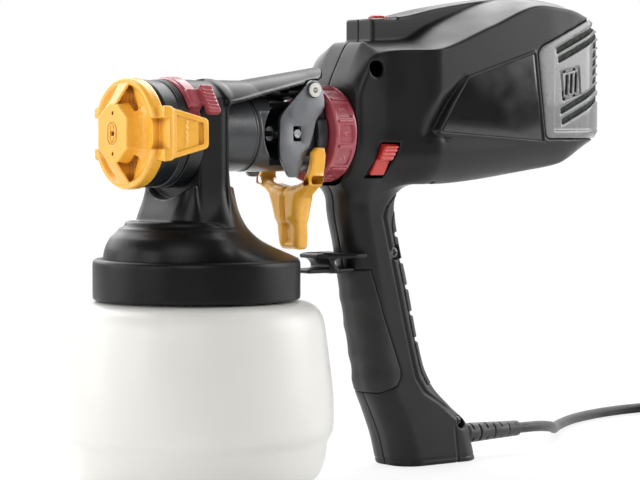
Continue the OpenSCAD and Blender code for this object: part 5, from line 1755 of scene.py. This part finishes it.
class SPRAYER_OT_controls(bpy.types.Operator):
    """Makes the side panels, the power rocker and the release button"""

    bl_idname = "sprayer.controls"
    bl_label = "Panels and Switches"

    def execute(self, context):
        shape = soft_corners([(*p, 1.6) for p in PANEL], 1.6)
        near = plate("side_panel_near", shape, -POD_HALF, -POD_HALF + 1.15, finishes().panel, 0.4)
        far = mirrored(near, "side_panel_far")
        settled(near, "handle", ["panel_near"])
        settled(far, "handle", ["panel_far"])
        low, high = mm_box("power_rocker")
        rocker = moulded("power_rocker_cap", self.rocker, low, high, 0.35, finishes().signal)
        settled(rocker, "power_rocker", ["power_rocker"])
        low, high = mm_box("release_button")
        low, high = (BUTTON.x - 8, -12.5, low.z), (BUTTON.x + 8, 12.5, high.z + 0.4)
        button = moulded("release_button_cap", self.button, low, high, 0.35, finishes().signal)
        settled(button, "release_button", ["release_button"])
        return {"FINISHED"}

    def button(self, x, y, z):
        """A domed push button with grip lines on a round stem."""
        radius = np.hypot(x - BUTTON.x, y)
        top = 253.9 - 0.02 * radius**2 - 0.2 * np.cos((x - BUTTON.x) * 2 * math.pi / 1.9) * (radius < 4.2)
        cap = smooth_max(radius - 5.4, np.maximum(246.5 - z, z - top), 0.8)
        foot = extruded(radius - 3.4, z, 244.5, 250, 0.2)
        return np.minimum(cap, foot)

    def rocker(self, x, y, z):
        """A tilted rocker with grip lines on its upper half."""
        tilt = math.radians(26)
        dy, dz = y + 25.8, z - 172.9
        out = dy * math.cos(tilt) + dz * math.sin(tilt)
        up = -dy * math.sin(tilt) + dz * math.cos(tilt)
        body = outline(out, up, [(-2.6, -8.3), (-0.9, 0), (-3.0, 1), (-1.3, 9.3), (4.5, 9.3), (6, 0), (4.5, -8.3)])
        plan = outline(x, z, WINDOW) + 0.6
        ridges = 0.3 * np.cos(up * 2 * math.pi / 2.1) * ramp(up, 1.5, 2.5) * ramp(1.5 - out, 0, 1)
        return smooth_max(body + 0.25 - ridges, plan, 0.9)


class SPRAYER_OT_rear_cover(bpy.types.Operator):
    """Makes the rear cover with its louvres and stacked fins"""

    bl_idname = "sprayer.rear_cover"
    bl_label = "Rear Cover"

    def execute(self, context):
        back = mm_box("rear_cover")[1].x
        low, high = (207, -POD_HALF - 0.5, 184), (back, POD_HALF + 0.5, 262)
        cover = moulded("turbine_rear_cover", self.field, low, high, 0.62, finishes().cover)
        settled(thin_out(cover), "rear_cover", ["rear_cover"])
        low, high = (220, -POD_HALF, 184), (back, POD_HALF, 262)
        liner = moulded("intake_liner", self.liner, low, high, 0.9, finishes().foam)
        settled(liner, "rear_cover")
        return {"FINISHED"}

    def liner(self, x, y, z):
        """A thin foam behind the louvres."""
        pod = pod_skin(x, y, z)
        return np.maximum(np.maximum(pod + 2.3, -(pod + 4.0)), np.maximum(cover_line(x, z, 3.4), 222 - x))

    def field(self, x, y, z):
        """A thin shell over the pod's end, with louvres at the side and behind and a badge of bars."""
        pod = pod_skin(x, y, z)
        line = cover_line(x, z, 0.25)
        inner = outline(x, z, [(221.5, 189), (221.9, 236.6), (262, 254.5), (290, 262), (290, 191), (250, 189.2)])
        body = smooth_max(pod + 0.9 * ramp(-inner, -0.2, 0.7), line, 0.9)
        body = np.maximum(body, -(pod + 2.1))
        body = np.maximum(body, -np.maximum(pod + 1.3, -line - 3.1))
        nothing = np.full(np.broadcast(x, z).shape, -float(NOWHERE))
        rise = 0.42 * (np.minimum(x, 262) - 224)
        louvres = [(at, start, rise) for at, start in ((235.0, 224.5), (229.2, 226), (199.0, 228), (192.4, 229))]
        louvres += [(at, 257, rise - 13.4) for at in (237.8, 232.7, 227.6, 222.5, 217.4)]
        slots = nothing
        for at, start, lift in louvres:
            slots = np.minimum(slots, np.maximum(np.abs(z - at - lift) - 1.25, start - x))
        body = smooth_max(body, -slots, 1.5)
        badge = outline(x, z, [(226.5, 223.4), (243.2, 226.6), (244.6, 210.3), (228.6, 206.2)])
        groove = np.maximum(np.abs(badge + 0.9) - 0.55, -1.6 - pod)
        body = smooth_max(body, -groove, 0.4)
        bars = nothing
        for at in (232.2, 236.0, 239.8):
            ends = np.abs(z - 216.4 - 0.2 * (at - 236)) - 5.6
            bars = np.minimum(bars, np.maximum(np.abs(x - at - 0.06 * (z - 216)) - 0.8, ends))
        return smooth_max(body, -np.maximum(bars, -2.2 - pod), 0.5)


# ---- Finishes of the pieces that stay as they are ----


class SPRAYER_OT_inner_finishes(bpy.types.Operator):
    """Gives each inner piece its finish"""

    bl_idname = "sprayer.inner_finishes"
    bl_label = "Inner Finishes"

    def execute(self, context):
        made = finishes()
        kinds = {
            made.seal: ("lid_seal", "tip_seal", "spigot_seal"),
            made.tube: ("suction_tube", "tube_socket"),
            made.packing: ("needle_packing",),
            made.brass: ("fluid_tip", "packing_nut", "carbon_brushes"),
            made.steel: ("cross_pin", "motor_shaft", "motor_bearings", "air_valve", "plug_blades"),
            made.alu: ("diffuser", "fan_front", "fan_rear", "motor_brackets"),
            made.core: ("motor_field",),
            made.copper: ("armature",),
            made.foam: ("air_filter",),
            made.dark_steel: ("needle", "needle_spring", "button_spring"),
            made.union: ("rear_spigot", "outlet_duct", "switch_body"),
        }
        for material, names in kinds.items():
            for name in names:
                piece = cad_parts[name]
                if not piece.material_slots:
                    raise RuntimeError(f"{name} has no material slot")
                for slot in piece.material_slots:
                    slot.material = material
        return {"FINISHED"}


OPERATORS = [
    SPRAYER_OT_camera,
    SPRAYER_OT_cord,
    SPRAYER_OT_stage,
    SPRAYER_OT_cup,
    SPRAYER_OT_lid,
    SPRAYER_OT_column,
    SPRAYER_OT_barrel,
    SPRAYER_OT_trigger,
    SPRAYER_OT_air_cap,
    SPRAYER_OT_rings,
    SPRAYER_OT_housing,
    SPRAYER_OT_grips,
    SPRAYER_OT_controls,
    SPRAYER_OT_rear_cover,
    SPRAYER_OT_inner_finishes,
]


class VIEW3D_PT_sprayer(bpy.types.Panel):
    """Lists the sprayer's sizes, colours and pieces"""

    bl_label = "Sprayer"
    bl_idname = "VIEW3D_PT_sprayer"
    bl_space_type = "VIEW_3D"
    bl_region_type = "UI"
    bl_category = "Sprayer"

    def draw(self, context):
        scene = context.scene
        for group in (scene.sprayer_sizes, scene.sprayer_colours):
            box = self.layout.box()
            for name in group.__annotations__:
                box.prop(group, name)
        column = self.layout.column(align=True)
        for kind in OPERATORS:
            column.operator(kind.bl_idname)


CLASSES = [SprayerSizes, SprayerColours, *OPERATORS, VIEW3D_PT_sprayer]


def register():
    for kind in CLASSES:
        bpy.utils.register_class(kind)
    bpy.types.Scene.sprayer_sizes = PointerProperty(type=SprayerSizes)
    bpy.types.Scene.sprayer_colours = PointerProperty(type=SprayerColours)


def unregister():
    del bpy.types.Scene.sprayer_colours
    del bpy.types.Scene.sprayer_sizes
    for kind in reversed(CLASSES):
        bpy.utils.unregister_class(kind)


def main():
    register()
    bpy.context.scene.view_settings.view_transform = "Standard"
    for kind in OPERATORS:
        group, label = kind.bl_idname.split(".")
        getattr(getattr(bpy.ops, group), label)()


if __name__ == "__main__":
    main()
